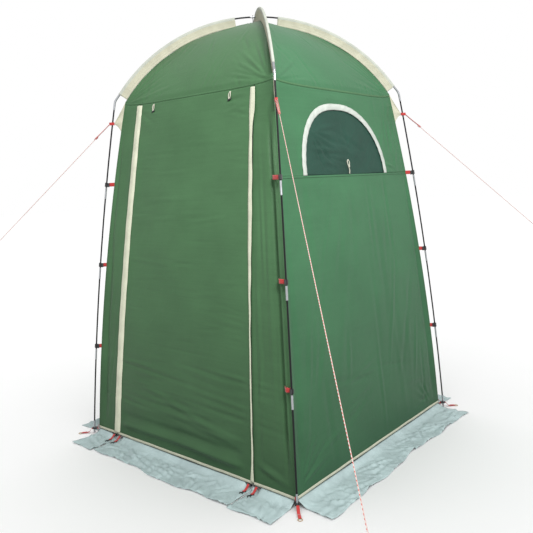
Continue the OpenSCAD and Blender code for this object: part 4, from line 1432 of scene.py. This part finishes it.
def add_clip_straps():
    """Red webbing from each corner seam, through the clip's slot and back"""
    straps = Cloth(0.0011)
    for corner in CORNERS:
        for z in CLIP_HEIGHTS:
            seam = float(cabin_half(z)) * ROOT2
            end = leg_radial(corner, z) - CLIP_REACH - 0.0006
            profile = [(seam - 0.001, -0.0012), (seam + 0.008, -0.0022), (end - 0.004, -0.0020), (end, 0.0),
                       (end - 0.004, 0.0026), (seam + 0.010, 0.0026), (seam + 0.001, 0.0018)]
            if corner == FRONT:
                profile = over_roll(profile, seam, end)
            radial, side = smooth_path(profile, 4).T
            strap_patch(straps, corner_points(corner, radial, z, side), (0, 0, 1), CLIP_STRAP_WIDE)
    finished(straps.build("clip_strap_webbing", red_webbing), "tent", "webbing", "clip_webbing")


def add_corner_straps():
    """At each foot, webbing from the hem to the ring and a tail out to the peg cord"""
    straps = Cloth(0.0012)
    ring = leg_radial(FRONT, FOOT_RING_Z)
    tail = FOOT_HALF * ROOT2 + 0.074
    seam = float(wall_half(ZIP_FOOT_Z)) * ROOT2
    upper = [
        (seam + 0.003, 0.046), (seam + 0.006, 0.040), (ring - 0.0200, 0.0335), (ring - 0.0165, 0.0285),
        (ring - 0.0200, 0.0235), (seam + 0.004, 0.027),
    ]
    lower = [
        (ring + 0.010, 0.0215), (ring + 0.0145, 0.028), (ring + 0.018, 0.0225), (ring + 0.030, 0.0075),
        (ring + 0.045, 0.0034), (tail - 0.008, 0.0028), (tail - 0.003, 0.0045), (tail - 0.012, 0.0062),
        (ring + 0.044, 0.0066),
    ]
    for corner in CORNERS:
        turn = math.radians(corner)
        sideways = (-math.sin(turn), math.cos(turn), 0)
        for profile in (upper, lower):
            path = corner_points(corner, *smooth_path(profile, 4).T)
            strap_patch(straps, path, sideways, CORNER_STRAP_WIDE)
    finished(straps.build("corner_strap_webbing", red_webbing), "tent", "webbing", "corner_straps")


def add_peg_tabs():
    """Webbing folded round the bar of each hook at the feet of the zips"""
    tabs = (
        ("peg_tab_webbing_door", HOOKS[1:3], "door", "peg_tabs_door"),
        ("peg_tab_webbing_left", HOOKS[:1], "skirt_front_left", "peg_tab_left"),
        ("peg_tab_webbing_right", HOOKS[3:], "skirt_front_right", "peg_tab_right"),
    )
    hook = HEM_HALF + HOOK_OUT
    profile = [
        (HEM_HALF + 0.006, 0.0265), (HEM_HALF + 0.012, 0.0210), (HEM_HALF + 0.021, 0.0130),
        (hook - 0.002, 0.0075), (hook + 0.0085, 0.0078), (hook + 0.0095, 0.0045),
    ]
    for name, places, body, node in tabs:
        straps = Cloth(0.0012)
        for x in places:
            path = [(x, -r, z) for r, z in smooth_path(profile, 4)]
            strap_patch(straps, path[::-1], (1, 0, 0), PEG_TAB_WIDE)
        finished(straps.build(name, red_webbing), body, "webbing", node)


add_clip_straps()
add_corner_straps()
add_peg_tabs()
dress_cad_nodes()


# ---- Stage ----


FLOOR_HALF = 30.0
KEY_PLACE, KEY_SIZE, KEY_WATTS = (2.9, -2.0, 3.6), 1.4, 230
FLOOR_SUN, FLOOR_SUN_ANGLE = 0.35, 0.8


def add_floor():
    points = FLOOR_HALF * np.array([(-1, -1, 0), (1, -1, 0), (1, 1, 0), (-1, 1, 0)])
    floor = make_mesh("floor", points, [[0, 1, 2, 3]], [floor_look("floor", (0.96, 0.96, 0.96))])
    return floor


def add_light(name, place, size, power, unlit):
    """A round soft light that leaves one object to the light of the surroundings"""
    data = bpy.data.lights.new(name, "AREA")
    data.shape = "DISK"
    data.size = size
    data.energy = power
    light = bpy.data.objects.new(name, data)
    light.location = place
    light.rotation_euler = (Vector((0, 0, 1)) - Vector(place)).to_track_quat("-Z", "Y").to_euler()
    put_in_scene(light)
    apart = bpy.data.collections.new(name + " leaves")
    apart.objects.link(unlit)
    apart.collection_objects[0].light_linking.link_state = "EXCLUDE"
    light.light_linking.receiver_collection = apart


def add_lights(floor):
    """White surroundings, a key light on the tent and a faint sun on the floor alone"""
    world = bpy.data.worlds.new("world")
    world.use_nodes = True
    background = world.node_tree.nodes["Background"]
    background.inputs["Color"].default_value = (1, 1, 1, 1)
    background.inputs["Strength"].default_value = 1.0
    bpy.context.scene.world = world
    bpy.context.scene.view_settings.view_transform = "Standard"
    add_light("key", KEY_PLACE, KEY_SIZE, KEY_WATTS, floor)
    sun = bpy.data.objects.new("floor light", bpy.data.lights.new("floor light", "SUN"))
    sun.data.energy = FLOOR_SUN
    sun.data.angle = FLOOR_SUN_ANGLE
    put_in_scene(sun)
    sun.light_linking.receiver_collection = bpy.data.collections.new("floor light reaches")
    sun.light_linking.receiver_collection.objects.link(floor)


add_lights(add_floor())
